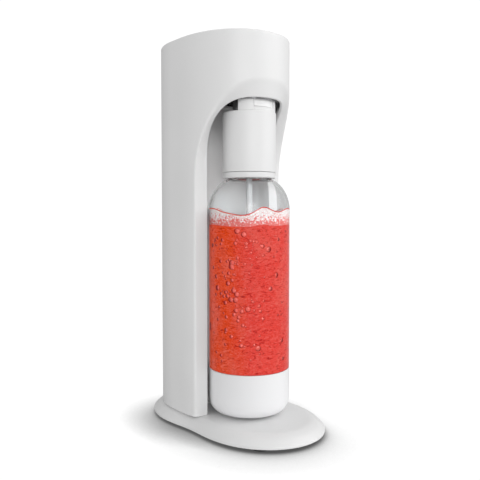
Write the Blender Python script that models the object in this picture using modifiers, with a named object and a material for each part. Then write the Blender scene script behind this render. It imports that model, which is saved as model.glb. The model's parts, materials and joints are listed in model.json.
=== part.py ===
"""A gas-powered soda carbonator: an egg-shaped base, an oval tower with an arched bottle bay, and a head that
holds the valve, the button and a tilting dock, from which an infuser and a bottle hang.

Frame: +Z up, the front faces -Y, the origin is the middle of the footprint on the table. Metres.
"""

from math import cos, pi, sin, tau

import bmesh
import bpy

# ---------------------------------------------------------------- driving dimensions
GAP = 0.0003  # left between pieces that touch
BASE_BACK_SHIFT = 0.0032  # the middle of the base outline's polar curve, behind the origin
BASE_RADII = (0.0902, 0.0008, 0.0229, 0.0024)  # mean radius and its first three cosine terms
FOOT_RADIUS = 0.009
FOOT_PLACES = ((-0.036, -0.084), (0.036, -0.084), (-0.040, 0.084), (0.040, 0.084))
BASE_EDGE_BOTTOM, BASE_EDGE_TOP, BASE_TOP = 0.0032, 0.0056, 0.0145
WALL = 0.003

HEIGHT = 0.415
TOWER_HALF = 0.0612  # half width of the tower and head
TOWER_FRONT_Y, TOWER_FRONT_DEPTH, TOWER_FRONT_POWER = 0.0187, 0.0773, 2.15
TOWER_BACK_Y, TOWER_BACK_DEPTH = 0.0355, 0.0675
TOWER_BOTTOM = BASE_TOP + GAP
REAR_SPLIT_Y = 0.080

AXIS_Y = -0.0225  # the bottle, the infuser and the dock share this vertical axis
BAND_HALF, BAND_SPRING, BAND_TOP, BAND_POWER = 0.0590, 0.250, 0.3663, 3.1
BAY_HALF, BAY_SPRING, BAY_TOP, BAY_POWER = 0.0436, 0.290, 0.3485, 4.6
BAY_FRONT_Y, BAY_FRONT_DEPTH = -0.0060, 0.0488  # the bay's rim in plan is this half ellipse
BAY_SIDE_Y, BAY_BACK_Y, BAY_BACK_HALF = 0.0135, 0.0245, 0.036
LIP = 0.002

CYLINDER_Y, CYLINDER_RADIUS = 0.0638, 0.030
CYLINDER_BOTTOM, CYLINDER_SHOULDER, CYLINDER_NECK = 0.0152, 0.306, 0.340
VALVE_TOP = 0.366
BLOCK_BOTTOM, BLOCK_TOP, PORT_Z = 0.3475, 0.384, 0.3745
BRACKET_BOTTOM, BRACKET_TOP, BRACKET_FRONT_Y = 0.3448, 0.3472, 0.050
BRACKET_SCREW_X, BRACKET_SCREW_Y = 0.0465, 0.058
LEVER_BOTTOM, LEVER_TOP, LEVER_PIVOT_Y = 0.388, 0.393, 0.088
BUTTON_RADIUS, BUTTON_TOP = 0.0235, 0.4165
LID_LOW, LID_HIGH = 0.4095, 0.4130
WELL_RADIUS, WELL_BOTTOM, WELL_FLOOR = 0.0272, 0.396, 0.3985

PIVOT_Z = 0.3575  # height of the axis the dock tilts about
MOUTH_RADIUS, CUP_RADIUS = 0.0286, 0.0300  # inside and outside of the dark cup
INFUSER_RADIUS, INFUSER_BOTTOM, INFUSER_SEAM, INFUSER_TOP = 0.0285, 0.267, 0.273, 0.337
COLLAR_RADIUS, COLLAR_TOP = 0.026, 0.3517
CAP_WAIST, CAP_RADIUS, CAP_TOP = 0.0178, 0.0215, 0.3635
STEM_Z = 0.3440
FLAP_HALF, FLAP_HINGE_Y, FLAP_HINGE_Z = 0.0146, AXIS_Y - 0.0196, 0.3503
FLAP_INNER, FLAP_OUTER = 0.0225, 0.0264
BOTTLE_RADIUS, BOTTLE_SHOULDER, BOTTLE_BOTTOM, CUP_TOP, CUP_BOTTOM = 0.0434, 0.2335, 0.024, 0.064, 0.0172
NECK_RADIUS, NECK_BOTTOM, NECK_TOP = 0.0138, 0.2685, 0.289
BOTTLE_WALL = 0.0015
WAND_RADIUS, WAND_BOTTOM = 0.0032, 0.120

# ---------------------------------------------------------------- scene and helpers
for leftover in list(bpy.data.objects):
    bpy.data.objects.remove(leftover)
parts = bpy.data.collections.new("soda_carbonator")
cutters = bpy.data.collections.new("cutters")
bpy.context.scene.collection.children.link(parts)
bpy.context.scene.collection.children.link(cutters)


def material(name, color, roughness, metallic=0.0, transmission=0.0):
    made = bpy.data.materials.new(name)
    made.use_nodes = True
    shader = made.node_tree.nodes["Principled BSDF"]
    shader.inputs["Base Color"].default_value = (*color, 1.0)
    shader.inputs["Roughness"].default_value = roughness
    shader.inputs["Metallic"].default_value = metallic
    shader.inputs["Transmission Weight"].default_value = transmission
    return made


WHITE = material("white_plastic", (0.80, 0.80, 0.80), 0.35)
WHITE_INNER = material("inner_white_plastic", (0.70, 0.70, 0.70), 0.5)
DARK = material("dark_plastic", (0.05, 0.05, 0.055), 0.45)
CHROME = material("chrome", (0.75, 0.75, 0.76), 0.12, 1.0)
STEEL = material("steel", (0.55, 0.55, 0.56), 0.35, 1.0)
BRASS = material("brass", (0.72, 0.55, 0.28), 0.3, 1.0)
ALUMINIUM = material("aluminium", (0.74, 0.75, 0.76), 0.35, 1.0)
RUBBER = material("rubber", (0.03, 0.03, 0.03), 0.8)
CLEAR = material("clear_bottle", (0.95, 0.97, 0.98), 0.05, 0.0, 0.95)
NYLON = material("nylon_tube", (0.10, 0.10, 0.11), 0.5)


def add(name, mesh, finish, group=parts):
    """Puts a mesh in the scene as one named object; a cutter has no finish."""
    made = bpy.data.objects.new(name, mesh)
    group.objects.link(made)
    if finish:
        mesh.materials.append(finish)
    else:
        made.hide_render = True
        made.display_type = "WIRE"
    mesh.shade_smooth()
    mesh.set_sharp_from_angle(angle=0.6)
    return made


def group_for(finish):
    return parts if finish else cutters


def spin(name, profile, edges, finish, place, steps):
    """A profile of (radius, height) points, joined by edges, spun about the vertical through place."""
    mesh = bpy.data.meshes.new(name)
    mesh.from_pydata([(r, 0.0, z) for r, z in profile], edges, [])
    made = add(name, mesh, finish, group_for(finish))
    made.location = (place[0], place[1], 0.0)
    screw = made.modifiers.new("Turn", "SCREW")
    screw.steps = screw.render_steps = steps
    screw.use_merge_vertices = True
    screw.merge_threshold = 0.00001
    screw.use_smooth_shade = True
    return made


def turned(name, profile, finish, place=(0.0, AXIS_Y), steps=22):
    """A solid or a ring turned from one profile, which runs down its outer side.

    It closes on itself unless both ends are on the axis.
    """
    count = len(profile)
    on_axis = profile[0][0] == 0.0 and profile[-1][0] == 0.0
    edges = [(i, (i + 1) % count) for i in range(count - 1 if on_axis else count)]
    return spin(name, profile, edges, finish, place, steps)


def vessel(name, profile, finish, place, steps):
    """A vessel turned from one profile: down the outside to the axis, then from the axis up the inside."""
    count = len(profile)
    middle = next(i for i in range(count - 1) if profile[i][0] == 0.0 and profile[i + 1][0] == 0.0)
    edges = [(i, (i + 1) % count) for i in range(count) if i != middle]
    return spin(name, profile, edges, finish, place, steps)


def turned_across(name, profile, finish, place, turn=(0.0, pi / 2, 0.0), steps=24):
    """The same, laid on its side: the profile's heights run along +X, or as turn says."""
    made = turned(name, profile, finish, (0.0, 0.0), steps)
    made.location = place
    made.rotation_euler = turn
    return made


def rod(radius, low, high, bevel=0.0):
    """The profile of a plain round bar from low to high, its ends eased by bevel."""
    if not bevel:
        return [(0.0, high), (radius, high), (radius, low), (0.0, low)]
    return [(0.0, high), (radius - bevel, high), (radius, high - bevel),
            (radius, low + bevel), (radius - bevel, low), (0.0, low)]


def ring(inner, outer, low, high):
    """The profile of a plain ring or tube."""
    return [(inner, high), (outer, high), (outer, low), (inner, low)]


def quarter_round(inner, outer, low, high, steps):
    """A quarter ellipse of (radius, height) points from (inner, high) round to (outer, low)."""
    turns = [pi / 2 * i / steps for i in range(steps + 1)]
    return [(inner + (outer - inner) * sin(turn), low + (high - low) * cos(turn)) for turn in turns]


def block(name, low, high, finish, bevel=0.0):
    """A box between two corners, with its edges eased by bevel."""
    mesh = bpy.data.meshes.new(name)
    shape = bmesh.new()
    bmesh.ops.create_cube(shape, size=1.0)
    for vertex in shape.verts:
        vertex.co = [(a + b) / 2 + c * (b - a) for a, b, c in zip(low, high, vertex.co)]
    shape.to_mesh(mesh)
    shape.free()
    made = add(name, mesh, finish, group_for(finish))
    if bevel:
        ease = made.modifiers.new("Ease", "BEVEL")
        ease.width = bevel
        ease.segments = 2
    return made


def loft(name, rings, finish):
    """A closed solid through rings of equally many points, capped by a flat face at each end."""
    count = len(rings[0])
    mesh = bpy.data.meshes.new(name)
    around = [(i, (i + 1) % count) for i in range(count)]
    faces = [(low + i, low + j, low + count + j, low + count + i)
             for low in range(0, (len(rings) - 1) * count, count) for i, j in around]
    faces.append(tuple(reversed(range(count))))
    faces.append(tuple(range((len(rings) - 1) * count, len(rings) * count)))
    mesh.from_pydata([point for each in rings for point in each], [], faces)
    shape = bmesh.new()
    shape.from_mesh(mesh)
    bmesh.ops.recalc_face_normals(shape, faces=shape.faces)
    shape.to_mesh(mesh)
    shape.free()
    return add(name, mesh, finish, group_for(finish))


def prism(name, outline, low, high, finish):
    """A flat outline raised from low to high."""
    return loft(name, [[(x, y, z) for x, y in outline] for z in (low, high)], finish)


def wire(name, points, radius, finish):
    """A round tube along points, with closed ends."""
    curve = bpy.data.curves.new(name, "CURVE")
    curve.dimensions = "3D"
    curve.bevel_depth = radius
    curve.bevel_resolution = 2
    curve.use_fill_caps = True
    spline = curve.splines.new("POLY")
    spline.points.add(len(points) - 1)
    for slot, point in zip(spline.points, points):
        slot.co = (*point, 1.0)
    made = bpy.data.objects.new(name, curve)
    parts.objects.link(made)
    curve.materials.append(finish)
    return made


def hang(name, point, children):
    """An empty on a joint's axis that carries the pieces turning about it; they stay where they are."""
    empty = bpy.data.objects.new(name, None)
    empty.location = point
    parts.objects.link(empty)
    for child in children:
        child.parent = empty
        child.location = [a - b for a, b in zip(child.location, point)]


def move_origin(obj, point):
    """Moves an object's origin from the world's origin to point and leaves its shape where it is."""
    for vertex in obj.data.vertices:
        vertex.co = [a - b for a, b in zip(vertex.co, point)]
    obj.location = point


def combine(base, other, operation, solver="EXACT"):
    step = base.modifiers.new(f"{operation.title()} {other.name}", "BOOLEAN")
    step.operation = operation
    step.solver = solver
    step.object = other


def cut(base, *others, solver="EXACT"):
    for other in others:
        combine(base, other, "DIFFERENCE", solver)


def join(base, *others, solver="EXACT"):
    for other in others:
        combine(base, other, "UNION", solver)


# ---------------------------------------------------------------- outlines
def tower_outline(inset=0.0, half=22):
    """The tower in plan: a superellipse front, flat sides and a half ellipse behind, moved in by inset."""
    width = TOWER_HALF - inset
    front_depth = TOWER_FRONT_DEPTH - inset
    back_depth = TOWER_BACK_DEPTH - inset
    power = 2 / TOWER_FRONT_POWER
    points = []
    for i in range(2 * half + 1):
        turn = pi * i / (2 * half)
        across = cos(turn)
        points.append((width * abs(across) ** power * (1 if across > 0 else -1),
                       TOWER_FRONT_Y - front_depth * sin(turn) ** power))
    for i in range(2 * half + 1):
        turn = pi * i / (2 * half)
        points.append((-width * cos(turn), TOWER_BACK_Y + back_depth * sin(turn)))
    return points


def base_outline(inset=0.0, count=48):
    """The base in plan: an egg whose radius is a short cosine series of the angle from the front."""
    points = []
    for i in range(count):
        turn = tau * i / count
        radius = sum(term * cos(k * turn) for k, term in enumerate(BASE_RADII)) - inset
        points.append((-radius * sin(turn), BASE_BACK_SHIFT - radius * cos(turn)))
    return points


def front_of_tower(x):
    """How far forward the oval tower reaches at x."""
    rest = max(0.0, 1 - abs(x / TOWER_HALF) ** TOWER_FRONT_POWER)
    return TOWER_FRONT_Y - TOWER_FRONT_DEPTH * rest ** (1 / TOWER_FRONT_POWER)


def arch(half_width, spring, top, power, steps=9, floor=-0.02):
    """An arch as (x, z) points: straight legs to spring, then a superellipse to top and down again."""
    quarter = []
    for i in range(steps + 1):
        turn = pi / 2 * i / steps
        across, up = cos(turn) ** (2 / power), sin(turn) ** (2 / power)
        quarter.append((half_width * across, spring + (top - spring) * up))
    left = [(-half_width, floor), (-half_width, spring / 2)] + [(-x, z) for x, z in quarter]
    return left + [(-x, z) for x, z in reversed(left[:-1])]


def bay_rings(grow):
    """The rings of the solid that hollows out the bottle bay, made larger all round by grow.

    The first two stand outside the tower, so the band between the second and the third
    leaves the sloping face that frames the bay; the rest are the bay's walls and back.
    """
    outer = arch(BAND_HALF + grow, BAND_SPRING, BAND_TOP + grow, BAND_POWER)
    inner = arch(BAY_HALF + grow, BAY_SPRING, BAY_TOP + grow, BAY_POWER)
    back = arch(BAY_BACK_HALF + grow, BAY_SPRING, BAY_TOP + grow, BAY_POWER)
    reach = 0.4  # how far past the outer arch, as a share of the band's width
    rim, band = [], []
    for (x_out, z_out), (x_in, z_in) in zip(outer, inner):
        y_out = front_of_tower(max(-BAND_HALF, min(BAND_HALF, x_out))) + grow
        share = min(1.0, abs(x_in) / (BAY_HALF + grow))
        y_in = BAY_FRONT_Y - BAY_FRONT_DEPTH * (1 - share**2) ** 0.5 + grow
        rim.append((x_in, y_in, z_in))
        pairs = ((x_out, x_in), (y_out, y_in), (z_out, z_in))
        band.append(tuple(out + reach * (out - within) for out, within in pairs))
    far = [(x, -0.2, z) for x, _, z in band]
    side = [(x, BAY_SIDE_Y + grow, z) for x, z in inner]
    rear = [(x, BAY_BACK_Y + grow, z) for x, z in back]
    return [far, band, rim, side, rear]


def bay_rim(inset, steps=18):
    """The bay's rim in plan, moved in by inset, with its back straight across the bay's back wall."""
    points = []
    for i in range(steps + 1):
        turn = pi * i / steps
        points.append(((BAY_HALF - inset) * cos(turn), BAY_FRONT_Y - (BAY_FRONT_DEPTH - inset) * sin(turn)))
    back = BAY_BACK_Y - inset
    return points + [(-BAY_HALF + inset, BAY_SIDE_Y), (-BAY_BACK_HALF + inset, back),
                     (BAY_BACK_HALF - inset, back), (BAY_HALF - inset, BAY_SIDE_Y)]


# ---------------------------------------------------------------- base and feet
def build_base():
    skin = [(0.0, BASE_EDGE_BOTTOM), (0.0, BASE_EDGE_TOP), (0.0075, 0.0118), (0.0135, BASE_TOP)]
    under = [(0.017, BASE_TOP - WALL), (0.0110, 0.0090), (0.0040, BASE_EDGE_TOP), (0.0040, BASE_EDGE_BOTTOM)]
    rings = [[(x, y, z) for x, y in base_outline(inset)] for inset, z in reversed(skin)]
    rings += [[(x, y, z) for x, y in base_outline(inset)] for inset, z in reversed(under)]
    plate = loft("base_plate", rings, WHITE)
    floor_low, floor_high = BASE_EDGE_BOTTOM + GAP, BASE_EDGE_BOTTOM + 0.0022
    prism("base_bottom_plate", base_outline(0.0044), floor_low, floor_high, DARK)
    return plate


def build_feet():
    for number, place in enumerate(FOOT_PLACES, 1):
        turned(f"rubber_foot_{number}", rod(FOOT_RADIUS, 0.0, BASE_EDGE_BOTTOM, 0.0006), RUBBER, place, 16)


def build_base_screws(plate, housing):
    """Four screws rise from the base into square posts inside the housing's walls."""
    head_low, head_high, head_radius = BASE_TOP - WALL - 0.0026, BASE_TOP - WALL - GAP, 0.003
    shank_radius, bore_radius, tip = 0.0014, 0.0018, 0.026
    post_top, post_depth = 0.034, 0.0042
    front, rear = (0.0490, 0.020, 0.0080), (0.0480, 0.060, 0.0065)  # x, y and half width of a post
    places = [(side * x, y, half) for x, y, half in (front, rear) for side in (-1, 1)]
    for number, (x, y, half) in enumerate(places, 1):
        low, high = (x - half, y - post_depth, TOWER_BOTTOM), (x + half, y + post_depth, post_top)
        post = block(f"post_{number}", low, high, None)
        join(housing, post, solver="MANIFOLD")
        bore = turned(f"post_bore_{number}", rod(bore_radius, 0.010, tip + 0.004), None, (x, y), 12)
        cut(housing, bore, solver="MANIFOLD")
        cut(plate, turned(f"screw_hole_{number}", rod(bore_radius, 0.004, 0.020), None, (x, y), 12))
        shank = [(0.0, tip), (shank_radius, tip), (shank_radius, head_high), (head_radius, head_high),
                 (head_radius, head_low), (0.0, head_low)]
        turned(f"base_screw_{number}", shank, STEEL, (x, y), 12)


# ---------------------------------------------------------------- tower shell and covers
def build_housing():
    """The front shell: the oval tower less the bay, hollow behind its walls and open behind and above."""
    housing = prism("front_housing", tower_outline(), TOWER_BOTTOM, HEIGHT, WHITE)
    hollow = prism("hollow", tower_outline(WALL), -0.03, HEIGHT + 0.03, None)
    cut(hollow, loft("bay_and_walls", bay_rings(WALL), None), solver="MANIFOLD")
    cut(housing, loft("bay", bay_rings(0.0), None), hollow, solver="MANIFOLD")
    cut(housing, prism("mouth", bay_rim(LIP), BAY_TOP - 0.02, BAY_TOP + 0.0245, None), solver="MANIFOLD")
    rear = block("rear_opening", (-0.1, REAR_SPLIT_Y, -0.03), (0.1, 0.2, HEIGHT + 0.03), None)
    cut(housing, rear, solver="MANIFOLD")
    for name, side in (("ledge_left", -1), ("ledge_right", 1)):
        low, high = sorted((side * 0.0430, side * 0.0535))
        ledge = block(name, (low, BRACKET_FRONT_Y, 0.3385), (high, 0.066, BRACKET_BOTTOM - GAP), None)
        join(housing, ledge, solver="MANIFOLD")
        place = (side * BRACKET_SCREW_X, BRACKET_SCREW_Y)
        bore = turned(f"{name}_bore", rod(0.0014, 0.340, 0.35), None, place, 12)
        cut(housing, bore, solver="MANIFOLD")
    return housing


def build_rear_cover():
    """The curved panel behind the gas cylinder, with two snap tongues that reach into the housing."""
    cover = prism("rear_cover", tower_outline(), TOWER_BOTTOM, HEIGHT, WHITE)
    cut(cover, prism("cover_hollow", tower_outline(WALL), -0.04, HEIGHT - WALL, None))
    cut(cover, block("cover_front", (-0.1, -0.2, -0.05), (0.1, REAR_SPLIT_Y + GAP, HEIGHT + 0.05), None))
    for number, height in enumerate((0.060, 0.350), 1):
        for side in (-1, 1):
            x = side * 0.0400
            tongue = block(f"tongue_{number}_{'left' if side < 0 else 'right'}",
                           (x - 0.0012, REAR_SPLIT_Y - 0.006, height - 0.008),
                           (x + 0.0012, REAR_SPLIT_Y + 0.006, height + 0.008), None)
            join(cover, tongue)
    return cover


def build_top_cover():
    """The lid: a plate inside the housing's rim, with a well that guides the button and seats its spring."""
    outline = [(x, y) for x, y in tower_outline(WALL + GAP) if y < REAR_SPLIT_Y - 0.001]
    lid = prism("top_cover", outline, LID_LOW, LID_HIGH, WHITE)
    join(lid, turned("well", rod(WELL_RADIUS, WELL_BOTTOM, LID_HIGH - 0.001), None))
    cut(lid, turned("well_hollow", rod(BUTTON_RADIUS + 0.0007, WELL_FLOOR, 0.43), None))
    cut(lid, turned("stem_hole", rod(0.0052, 0.39, 0.40), None, steps=24))
    for number, place in enumerate([(-0.040, 0.050), (0.040, 0.050)], 1):
        cut(lid, turned(f"lid_screw_hole_{number}", rod(0.0018, 0.40, 0.42), None, place, 12))
        seat = LID_HIGH + GAP
        shape = [(0.0, seat + 0.0019), (0.0026, seat + 0.0015), (0.0031, seat),
                 (0.0014, seat), (0.0014, 0.402), (0.0, 0.402)]
        turned(f"lid_screw_{number}", shape, STEEL, place, 12)


# ---------------------------------------------------------------- button, spring and lever
def build_button():
    top, stem_low = BUTTON_TOP, LEVER_TOP + GAP
    r, under, stem = BUTTON_RADIUS, top - 0.003, 0.0045
    profile = [(0.0, top), (r - 0.004, top - 0.0002), (r - 0.0012, top - 0.0009), (r, top - 0.0024),
               (r, top - 0.0064), (r - 0.002, top - 0.0064), (r - 0.002, under),
               (stem, under), (stem, stem_low), (0.0, stem_low)]
    turned("carbonation_button", profile, WHITE)
    low, high, turns, radius, thick = WELL_FLOOR + GAP, under - GAP, 4, 0.011, 0.0006
    count = turns * 10
    rise = high - low - 2 * thick
    coil = [(radius * cos(tau * i / 10), AXIS_Y + radius * sin(tau * i / 10), low + thick + rise * i / count)
            for i in range(count + 1)]
    wire("button_spring", coil, thick * 0.98, STEEL)


def build_lever():
    """A flat bar from above the dock to its pivot behind the valve; the button pushes its front end down."""
    front, back = (-0.006, AXIS_Y - 0.008, LEVER_BOTTOM), (0.006, LEVER_PIVOT_Y + 0.005, LEVER_TOP)
    lever = block("actuator_lever", front, back, STEEL, 0.0008)
    pivot = (0.0, LEVER_PIVOT_Y, (LEVER_BOTTOM + LEVER_TOP) / 2)
    cut(lever, turned_across("lever_bore", rod(0.00206, -0.02, 0.02), None, pivot, steps=32))
    move_origin(lever, pivot)
    turned_across("lever_pin", rod(0.0020, -0.0145, 0.0145, 0.0004), STEEL, pivot, steps=32)


# ---------------------------------------------------------------- gas cylinder, valve and pipe
def build_cylinder():
    place = (0.0, CYLINDER_Y)
    r, low, shoulder, neck = CYLINDER_RADIUS, CYLINDER_BOTTOM, CYLINDER_SHOULDER, CYLINDER_NECK
    neck_radius, bore, wall = 0.0125, 0.0088, 0.0032
    arc = quarter_round(neck_radius, r, shoulder, neck - 0.008, 5)
    outer = [(bore, neck), (neck_radius, neck)] + arc + [(r, low + 0.006), (r - 0.004, low), (0.0, low)]
    inside = [(0.0, low + wall), (r - wall - 0.002, low + wall), (r - wall, low + wall + 0.003)]
    squeeze = (r - wall - bore) / (r - neck_radius)
    inside += [(bore + (x - neck_radius) * squeeze, z - wall) for x, z in reversed(arc)]
    vessel("cylinder_body", outer + inside, ALUMINIUM, place, 24)
    stem = [(0.0052, VALVE_TOP), (0.0095, VALVE_TOP), (0.0105, VALVE_TOP - 0.001), (0.0105, 0.3480),
            (0.0122, 0.3478), (0.0122, neck + GAP), (bore - GAP, neck + GAP), (bore - GAP, 0.326),
            (0.0052, 0.326)]
    turned("cylinder_valve", stem, BRASS, place, 20)
    turned("valve_pin", [(0.0, 0.368), (0.0022, 0.368), (0.0022, 0.352), (0.0046, 0.352), (0.0046, 0.346),
                         (0.0, 0.346)], STEEL, place, 16)
    turned("cylinder_cradle", ring(r + 0.0012, r + 0.0038, BASE_TOP + GAP, 0.024), WHITE_INNER, place)


def build_valve():
    """The valve block the cylinder screws into, its plunger and seals, and the plate that carries it."""
    y = CYLINDER_Y
    half_width, half_depth, ear_x, ear_half = 0.020, 0.018, 0.0115, 0.0035
    front, back = (-half_width, y - half_depth, BLOCK_BOTTOM), (half_width, y + half_depth, BLOCK_TOP)
    body = block("valve_block", front, back, ALUMINIUM, 0.0012)
    for name, x in (("ear_left", -ear_x), ("ear_right", ear_x)):
        front = (x - ear_half, y + 0.010, BLOCK_TOP - 0.010)
        back = (x + ear_half, LEVER_PIVOT_Y + 0.005, LEVER_TOP + 0.0015)
        join(body, block(name, front, back, None))
    pivot = (0.0, LEVER_PIVOT_Y, (LEVER_BOTTOM + LEVER_TOP) / 2)
    cut(body, turned_across("ear_bore", rod(0.0023, -0.03, 0.03), None, pivot, steps=20))
    cut(body, turned("cylinder_socket", rod(0.0125, 0.33, VALVE_TOP + 0.0028), None, (0.0, y), 32))
    cut(body, turned("plunger_bore", rod(0.0034, 0.36, 0.40), None, (0.0, y), 20))
    cut(body, turned("seal_seat", rod(0.0062, BLOCK_TOP - 0.0030, 0.40), None, (0.0, y), 24))
    outlet_place = (0.0, y - 0.030, PORT_Z)
    cut(body, turned_across("outlet", rod(0.0030, 0.0, 0.04), None, outlet_place, (-pi / 2, 0.0, 0.0), 16))
    cut(body, turned_across("relief_port", rod(0.0030, -0.04, -0.004), None, (0.0, y, PORT_Z), steps=16))
    head_high, head_low = LEVER_BOTTOM - GAP, LEVER_BOTTOM - 0.0018
    turned("plunger", [(0.0, head_high), (0.0045, head_high), (0.0045, head_low), (0.0030, head_low),
                       (0.0030, 0.3683), (0.0, 0.3683)], STEEL, (0.0, y), 20)
    turned("plunger_seal", ring(0.0034, 0.0058, BLOCK_TOP - 0.0027, BLOCK_TOP - 0.0009), RUBBER, (0.0, y), 20)
    turned("cylinder_gasket", ring(0.0060, 0.0120, VALVE_TOP + GAP, VALVE_TOP + 0.0024), RUBBER, (0.0, y), 24)
    front = (-0.0500, BRACKET_FRONT_Y, BRACKET_BOTTOM)
    plate = block("valve_bracket", front, (0.0500, 0.0685, BRACKET_TOP), STEEL)
    cut(plate, turned("bracket_hole", rod(0.0135, 0.33, 0.36), None, (0.0, y), 28))
    for number, x in enumerate((-BRACKET_SCREW_X, BRACKET_SCREW_X), 1):
        place = (x, BRACKET_SCREW_Y)
        cut(plate, turned(f"bracket_screw_hole_{number}", rod(0.0014, 0.34, 0.35), None, place, 12))
        shape = [(0.0, BRACKET_TOP + 0.0024), (0.0026, BRACKET_TOP + 0.0020), (0.0026, BRACKET_TOP + GAP),
                 (0.0011, BRACKET_TOP + GAP), (0.0011, 0.3405), (0.0, 0.3405)]
        turned(f"bracket_screw_{number}", shape, STEEL, place, 12)


def smooth(points, between=4):
    """A curve through hand-placed points, by Catmull and Rom's rule, with a few points between each two."""
    ends = [points[0]] + points + [points[-1]]
    curve = []
    for i in range(1, len(points)):
        for step in range(between):
            t = step / between
            shares = (-t + 2 * t**2 - t**3, 2 - 5 * t**2 + 3 * t**3, t + 4 * t**2 - 3 * t**3, t**3 - t**2)
            near = ends[i - 1:i + 3]
            curve.append(tuple(sum(share * p[k] for share, p in zip(shares, near)) / 2 for k in range(3)))
    return curve + [points[-1]]


def build_pipework():
    """The valve's outlet fitting, its relief valve, and the nylon pipe round to the dock's hollow right pivot."""
    face = CYLINDER_Y - 0.018
    outlet = [(0.0, 0.012), (0.0022, 0.012), (0.0022, 0.008), (0.0046, 0.008),
              (0.0046, GAP), (0.0027, GAP), (0.0027, -0.006), (0.0, -0.006)]
    turned_across("outlet_fitting", outlet, BRASS, (0.0, face, PORT_Z), (pi / 2, 0.0, 0.0), 16)
    turned_across("relief_valve", [(0.0, 0.012), (0.0030, 0.012), (0.0042, 0.010), (0.0042, GAP),
                                   (0.0026, GAP), (0.0026, -0.007), (0.0, -0.007)],
                  BRASS, (-0.020, CYLINDER_Y, PORT_Z), (0.0, -pi / 2, 0.0), 16)
    start = face - 0.012 - GAP
    pipe = [(0.0, start, PORT_Z), (0.0, start - 0.005, PORT_Z), (0.008, start - 0.014, PORT_Z),
            (0.026, 0.008, 0.3700), (0.038, -0.006, 0.3630), (0.0425, -0.0160, 0.3585),
            (0.0410, -0.0215, PIVOT_Z), (0.0375, AXIS_Y, PIVOT_Z), (0.0343, AXIS_Y, PIVOT_Z)]
    wire("gas_pipe", smooth(pipe), 0.0016, NYLON)


# ---------------------------------------------------------------- dock
def build_dock():
    """The dark cup that closes the top of the bay, its bright ring, and the carrier that tilts inside it."""
    plate_low = BAY_TOP + 0.0018
    pivot = (0.0, AXIS_Y, PIVOT_Z)
    housing = prism("dock_housing", bay_rim(LIP + GAP), plate_low, plate_low + 0.0026, DARK)
    join(housing, turned("dock_cup", rod(CUP_RADIUS, plate_low + 0.0004, 0.3785), None))
    cut(housing, turned("dock_hollow", rod(MOUTH_RADIUS, 0.33, 0.3768), None))
    cut(housing, turned_across("pivot_bore", rod(0.0031, -0.05, 0.05), None, pivot, steps=20))
    turned("dock_ring", [(MOUTH_RADIUS + 0.0002, plate_low - GAP), (CUP_RADIUS, plate_low - GAP),
                         (CUP_RADIUS, BAY_TOP + 0.0002), (CUP_RADIUS - 0.0006, BAY_TOP - 0.0004),
                         (MOUTH_RADIUS + 0.0002, BAY_TOP - 0.0004)], CHROME)
    skirt, top = 0.3560, 0.3712
    carrier = turned("dock_carrier", [(0.0, top), (0.0230, top), (0.0255, 0.3690), (0.0255, skirt),
                                      (CAP_RADIUS + GAP, skirt), (CAP_RADIUS + GAP, 0.3672), (0.0, 0.3672)], DARK)
    cut(carrier, turned("nozzle_hole", rod(0.0043, 0.36, 0.38), None, steps=20))
    half_ear = 0.0045
    for side, name in ((-1, "left"), (1, "right")):
        low, high = sorted((side * 0.0244, side * 0.0272))
        ear = block(f"carrier_ear_{name}", (low, AXIS_Y - half_ear, PIVOT_Z - half_ear),
                    (high, AXIS_Y + half_ear, PIVOT_Z + half_ear), None)
        join(carrier, ear)
        turn = (0.0, side * pi / 2, 0.0)
        cut(carrier, turned_across(f"carrier_bore_{name}", rod(0.0026, 0.0225, 0.05), None, pivot, turn, 20))
        outer, head, tip = CUP_RADIUS + GAP, 0.0340, 0.0232
        pin = [(0.0, head), (0.0038, head), (0.0038, outer), (0.0025, outer), (0.0025, tip), (0.0, tip)]
        turned_across(f"dock_pivot_pin_{name}", pin, STEEL, pivot, turn, 20)
    turned("gas_nozzle", [(0.0010, 0.3752), (0.0030, 0.3752), (0.0030, 0.3732), (0.0060, 0.3730),
                          (0.0060, top + GAP), (0.0040, top + GAP), (0.0040, 0.3660), (0.0028, 0.3650),
                          (0.0028, 0.3590), (0.0022, 0.3582), (0.0010, 0.3582)], BRASS, steps=20)
    turned("nozzle_seal", ring(0.0031, 0.0045, 0.3600, 0.3616), RUBBER, steps=20)


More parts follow.
